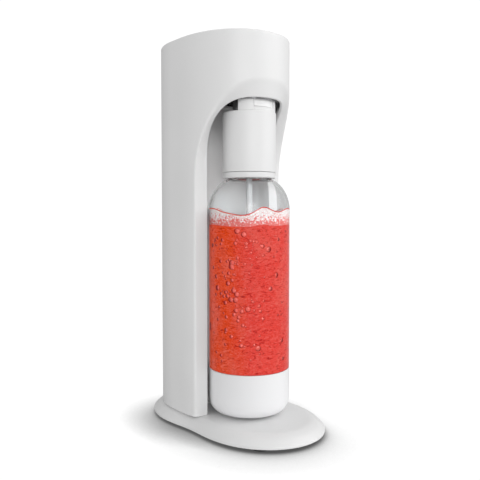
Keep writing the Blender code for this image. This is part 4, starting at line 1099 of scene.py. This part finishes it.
CLUSTER_AT = -1.0
chance = np.random.default_rng(7)
count, clustered = 240, 110
angles = np.concatenate([chance.uniform(0.0, tau, count - clustered),
                         chance.normal(CLUSTER_AT, 0.45, clustered)])
heights = CUP_TOP + 0.006 + (FOAM_FOOT - CUP_TOP - 0.010) * chance.power(1.3, count)
sizes = np.clip(chance.lognormal(-6.65, 0.55, count), 0.0004, 0.0030)
piece("clinging_bubbles", beads(zip(angles, heights), sizes, 0.35), BUBBLE, "bottle", wrap=True)
froth_count = 900
froth_angles = chance.uniform(0.0, tau, froth_count)
froth_share = chance.uniform(0.0, 1.0, froth_count) ** 0.8
rim_x, rim_y = DRINK_RADIUS * np.sin(froth_angles), AXIS_Y - DRINK_RADIUS * np.cos(froth_angles)
foot_of_foam = drink_top(rim_x, rim_y)
froth_heights = foot_of_foam + froth_share * (foam_top(rim_x, rim_y) - foot_of_foam - 0.0012)
froth_sizes = np.clip(chance.lognormal(-7.6, 0.45, froth_count), 0.0003, 0.0012)
piece("froth", beads(zip(froth_angles, froth_heights), froth_sizes, 0.45), FOAM, "bottle", wrap=True)

# %% [markdown]
# ## Screws and the gas bottle
# Screw heads are turned and then pressed with a cross: the head's height drops inside two crossed slots. The
# gas bottle is spun aluminium with a rounded shoulder, seen when the rear panel comes away.

# %% Screws
def cross_head(low, high, radius, shank, foot, place, columns=48):
    """A domed head whose top is pressed down by a cross, over a plain shank with a flat, softened end."""
    rings = np.concatenate([np.linspace(0.0, radius * 0.92, 14), [radius]])
    a = np.linspace(0.0, tau, columns, endpoint=False)
    r = rings[:, None]
    dome = high - (high - low) * 0.45 * (r / radius) ** 2 + 0 * a
    x, y = r * np.sin(a), r * np.cos(a)
    slot = (np.minimum(np.abs(x), np.abs(y)) < radius * 0.13) & (np.hypot(x, y) < radius * 0.62)
    dome = np.where(slot, dome - (high - low) * 0.5, dome)
    top = np.stack([x, y, dome], axis=-1)
    under = eased([(radius, low), (shank, low), (shank, foot), (0.0, foot)], [0.0, 0.0002, 0.0004, 0.0], 3)
    rest = np.stack([under[:, :1] * np.sin(a), under[:, :1] * np.cos(a), under[:, 1:] + 0 * a], axis=-1)
    return np.concatenate([top, rest]) + np.array([place[0], place[1], 0.0])


for node, head in (("lid_screw_1", 0.0019), ("lid_screw_2", 0.0019), ("bracket_screw_1", 0.0021),
                   ("bracket_screw_2", 0.0021)):
    low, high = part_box(node)
    middle = ((low.x + high.x) / 2, (low.y + high.y) / 2)
    grid = cross_head(high.z - head, high.z, (high.x - low.x) / 2, 0.0013, low.z, middle)
    piece(f"cross_{node}", [grid], STEEL, "frame", [node], wrap=True)
for number in range(1, 5):
    low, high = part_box(f"base_screw_{number}")
    middle = ((low.x + high.x) / 2, (low.y + high.y) / 2)
    grid = cross_head(-(low.z + 0.0023), -low.z, (high.x - low.x) / 2, 0.0014, -high.z, middle)
    grid[..., 2] *= -1
    piece(f"cross_base_screw_{number}", [grid], STEEL, "frame", [f"base_screw_{number}"], wrap=True)

# %% Gas bottle
gas_low, gas_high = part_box("cylinder_body")
GAS_Y = (gas_low.y + gas_high.y) / 2
gas_radius, gas_neck = (gas_high.x - gas_low.x) / 2, 0.0125
gas_profile = np.vstack([
    [(0.0088, gas_high.z), (gas_neck - 0.0004, gas_high.z), (gas_neck, gas_high.z - 0.0004)],
    shoulder_curve(gas_radius, gas_neck, 0.306, gas_high.z - 0.008, 28),
    eased([(gas_radius, 0.30), (gas_radius, gas_low.z), (0.0, gas_low.z), (0.0, gas_low.z + 0.0032),
           (gas_radius - 0.0032, gas_low.z + 0.0032), (gas_radius - 0.0032, 0.300)],
          [0.0, 0.006, 0.0, 0.0, 0.003, 0.0], 8),
    shoulder_curve(gas_radius - 0.0032, 0.0088, 0.3028, gas_high.z - 0.0112, 20)[::-1],
    [(0.0088, gas_high.z)]])
piece("gas_bottle", [spun(gas_profile, (0.0, GAS_Y), 96)], ALUMINIUM, "gas_cylinder",
      ["cylinder_body"], wrap=True)

# %% [markdown]
# ## Finishes for the frame's own pieces
# The valve, lever, pins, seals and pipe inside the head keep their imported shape. The record names a material
# slot for each node, so one table from slot to finish dresses them all.

# %% Dress the kept nodes
FINISHES = {"white": WHITE, "white_inner": INNER_WHITE, "dark": DARK, "chrome": CHROME, "steel": STEEL,
            "brass": BRASS, "aluminium": ALUMINIUM, "rubber": RUBBER, "clear": CLEAR, "nylon": NYLON}
slot_of = {row["node"]: row["material_slot"] for row in frame["record"]["subparts"]}
for name, node in frame["nodes"].items():
    node.data.materials.clear()
    node.data.materials.append(FINISHES[slot_of[name]])
print("kept nodes:", sorted(name for name, node in frame["nodes"].items() if not node.hide_render))

# %% [markdown]
# ## Floor and light
# A pale floor, a broad soft light from the right and above, a weaker one from low in front, and an even pale
# surround. The surround is bright where the camera sees it and softer as a light, so the white casing keeps
# its modelling. The floor the camera sees glows by how open it is, which leaves a soft shade close round the
# foot and nothing further out.

# %% Floor and light
FLOOR_HALF, HALO_REACH, HALO_POWER = 40.0, 0.055, 2.2
floor_mesh = bpy.data.meshes.new("floor")
corners = [(-FLOOR_HALF, -FLOOR_HALF, 0.0), (FLOOR_HALF, -FLOOR_HALF, 0.0), (FLOOR_HALF, FLOOR_HALF, 0.0),
           (-FLOOR_HALF, FLOOR_HALF, 0.0)]
floor_mesh.from_pydata(corners, [], [(0, 1, 2, 3)])
floor = bpy.data.objects.new("floor", floor_mesh)
bpy.context.scene.collection.objects.link(floor)
PALE, tree, shader, place = start_material("pale_floor", (0.72, 0.72, 0.72), 0.9)
shader.inputs["Specular IOR Level"].default_value = 0.0
openness = tree.nodes.new("ShaderNodeAmbientOcclusion")
openness.inputs["Distance"].default_value = HALO_REACH
towards_back = tree.nodes.new("ShaderNodeCombineXYZ")
for socket, value in zip(towards_back.inputs, (0.42, 0.52, 0.75)):
    socket.default_value = value
tree.links.new(towards_back.outputs["Vector"], openness.inputs["Normal"])
shown = tree.nodes.new("ShaderNodeEmission")
near = maths(tree, "MULTIPLY", maths(tree, "POWER", openness.outputs["AO"], HALO_POWER), 0.98)
tree.links.new(maths(tree, "ADD", near, 0.07), shown.inputs["Strength"])
choose = tree.nodes.new("ShaderNodeMixShader")
tree.links.new(tree.nodes.new("ShaderNodeLightPath").outputs["Is Camera Ray"], choose.inputs["Fac"])
tree.links.new(shader.outputs["BSDF"], choose.inputs[1])
tree.links.new(shown.outputs["Emission"], choose.inputs[2])
tree.links.new(choose.outputs["Shader"], tree.nodes["Material Output"].inputs["Surface"])
floor_mesh.materials.append(PALE)


def sun(name, energy, angle, direction):
    """A sun lamp that shines from a direction, softened over an angle."""
    lamp = bpy.data.lights.new(name, "SUN")
    lamp.energy, lamp.angle = energy, angle
    made = bpy.data.objects.new(name, lamp)
    x, y, z = direction
    made.rotation_euler = (atan2(np.hypot(x, y), z), 0.0, atan2(x, -y))
    bpy.context.scene.collection.objects.link(made)


sun("soft_key", 1.22, 0.9, (0.62, -0.62, 0.50))
sun("front_fill", 1.20, 0.6, (-0.50, -0.84, 0.12))

world = bpy.data.worlds.new("pale_room")
bpy.context.scene.world = world
world.use_nodes = True
sky = world.node_tree
backdrop = sky.nodes["Background"]
backdrop.inputs["Color"].default_value = (1.0, 1.0, 1.0, 1.0)
seen = sky.nodes.new("ShaderNodeLightPath").outputs["Is Camera Ray"]
sky.links.new(between(sky, seen, 0.0, 1.0, 0.54, 1.05), backdrop.inputs["Strength"])
bpy.context.scene.view_settings.view_transform = "Standard"
print("floor, key light and surround in place")
